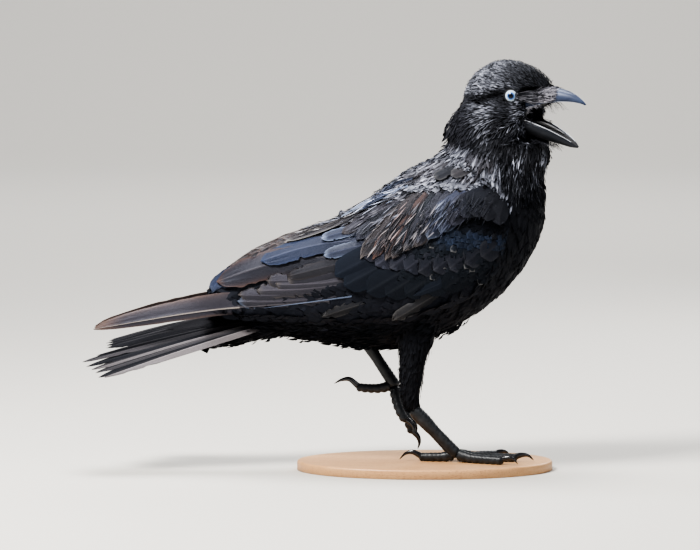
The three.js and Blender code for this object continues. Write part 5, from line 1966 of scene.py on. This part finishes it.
def scaled_tube(name, corners, radii, back=False, pads=0.26, around=20, step=0.45):
    """A limb: scutes on its upper side, pads below, and rounded ends."""
    path = curve_through(corners, step)
    along = unit(np.gradient(path, axis=0))
    upper = unit(np.cross(along, [0, 1, 0])) * (-1 if back else 1)
    aside = np.cross(along, upper)
    travelled = np.concatenate([[0], np.linalg.norm(np.diff(path, axis=0), axis=1).cumsum()])
    radius = np.interp(travelled / travelled[-1], np.linspace(0, 1, len(radii)), radii)
    turn = full_turn(around)
    from_end = np.clip(np.minimum(travelled, travelled[-1] - travelled) / radius, 0, 1)
    ends = np.sqrt(np.clip(1 - (1 - from_end) ** 2, 0.02, 1))
    ridge = ((travelled / SCUTE % 1) ** 0.6 - 0.5)[:, None] * 0.11 * np.clip(np.cos(turn), 0, 1) ** 0.5
    swell = (np.abs(np.sin(math.pi * travelled / PAD)) ** 0.7 - 0.35)[:, None]
    size = radius[:, None] * (1 + ridge + pads * np.clip(-np.cos(turn), 0, 1) * swell) * ends[:, None]
    return mesh_of_rings(name, tube_rings(path, turn, upper, size, aside, size * 0.92))


def joined_piece(name, meshes, material, replaces):
    together = bmesh.new()
    for mesh in meshes:
        together.from_mesh(mesh)
        bpy.data.meshes.remove(mesh)
    whole = bpy.data.meshes.new(name)
    together.to_mesh(whole)
    together.free()
    whole.polygons.foreach_set("use_smooth", [True] * len(whole.polygons))
    return finish_piece(name, whole, material, replaces)


def claw_mesh(name, end, along, size):
    """A curved, tapering claw, deeper than it is wide."""
    reach, arch, drop = size
    along = unit(along)
    out = np.array([0, 0, 1.0])
    if along[2] < -0.5:
        out = unit([-along[2], 0, along[0]])
    corners = [end - along * 1.5 + out, end + along * 0.3 * reach + out * arch,
               end + along * 0.68 * reach + out * arch * 0.75, end + along * reach - out * drop]
    path = spline_3d(corners, 26)
    direction = unit(np.gradient(path, axis=0))
    aside = unit(np.cross(direction, out))
    radius = 2.3 * (1 - np.linspace(0, 1, 26) ** 1.3) + 0.25
    rings = tube_rings(path, full_turn(16), np.cross(aside, direction), radius, aside, radius * 0.72)
    return mesh_of_rings(name, rings)


for name, leg in LEGS.items():
    ankle, foot, thick = np.array(leg["ankle"], float), np.array(leg["foot"], float), leg["thick"]
    shank_way = unit(foot - ankle)
    shank_line = [ankle - shank_way * 4, ankle, (ankle + foot) / 2, foot, foot + shank_way * 2]
    shank = scaled_tube(f"shank_{name}", shank_line, [r * thick for r in (4.2, 4.8, 4, 4.2, 4.4)], pads=0.03)
    joined_piece(f"leg_{name}", [shank], leg_scale, [f"tarsus_{name}"])
    toes, claws = [], []
    for toe, corners in leg["toes"].items():
        back = toe == "hind"
        start = foot + (np.array(corners[0]) - foot) * 0.1
        toes.append(scaled_tube(toe, [start, *corners], [3.9 * thick, 3.7, 3.5, 3.3], back))
        end = np.array(corners[-1], float)
        claw = claw_mesh(f"claw_{toe}_{name}_horn", end, end - np.array(corners[-2]), leg["claws"][toe])
        finish_piece(claw.name, claw, claw_horn, [f"claw_{toe}_{name}"])
    joined_piece(f"toes_{name}", toes, leg_scale, [f"foot_{name}"])
print("legs ready")

# %% [markdown]
# ## The board
# The crow stands on an oval board of beech, planed and oiled. Beech is close-grained and pale pinkish brown,
# with short darker flecks along the grain. The fleck is about 3 mm long on the real wood, and is drawn so.

# %% Beech board
def beech_grain(tree):
    place = add(tree, "ShaderNodeTexCoord")
    along = add(tree, "ShaderNodeMapping", {"Scale": (9.0, 90.0, 90.0)}, {"Vector": place.outputs["Object"]})
    bands = add(tree, "ShaderNodeTexNoise", {"Scale": 1.0, "Detail": 5.0, "Distortion": 0.6},
                {"Vector": along})
    finer = add(tree, "ShaderNodeMapping", {"Scale": (300.0, 2200.0, 2200.0)}, {"Vector": place.outputs["Object"]})
    flecks = add(tree, "ShaderNodeTexNoise", {"Scale": 1.0, "Detail": 2.0}, {"Vector": finer})
    dark = add(tree, "ShaderNodeMapRange", {1: 0.56, 2: 0.66, 3: 0.0, 4: 0.55}, {0: flecks})
    base = add(tree, "ShaderNodeMix", {"data_type": "RGBA", "A": linear("#b98a60"), "B": linear("#d3ab80")},
               {"Factor": bands})
    colour = add(tree, "ShaderNodeMix", {"data_type": "RGBA", "B": linear("#8b5e3d")},
                 {"Factor": dark, "A": base.outputs["Result"]})
    bump = add(tree, "ShaderNodeBump", {"Strength": 0.3, "Distance": 0.0002}, {"Height": flecks})
    return {"Base Color": colour.outputs["Result"], "Normal": bump}


beech = new_material("oiled_beech", {"Roughness": 0.45, "Coat Weight": 0.15, "Coat Roughness": 0.3}, beech_grain)
BOARD_EDGE, BOARD_DEPTH, CHAMFER = 2.0, 8, 0.6  # mm
half_length, half_width, _ = to_millimetres(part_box("stand_base")[1])
board_turn = full_turn(128)
board_rings = []
for inset, depth in [(half_width * 0.98, 0)] + [
    (BOARD_EDGE * (1 - math.sin(a)), BOARD_EDGE * (1 - math.cos(a))) for a in np.linspace(0, math.pi / 2, 6)
] + [(0, BOARD_DEPTH - CHAMFER), (CHAMFER, BOARD_DEPTH)]:
    across, aside = np.cos(board_turn) * (half_length - inset), np.sin(board_turn) * (half_width - inset)
    board_rings.append(np.stack([across, aside, np.full(128, -depth)], axis=1))
board_mesh = mesh_of_rings("beech_board", np.array(board_rings))
board_mesh.polygons.foreach_set("use_smooth", [len(p.vertices) == 4 for p in board_mesh.polygons])
finish_piece("beech_board", board_mesh, beech, ["stand_base"])
print("board ready")
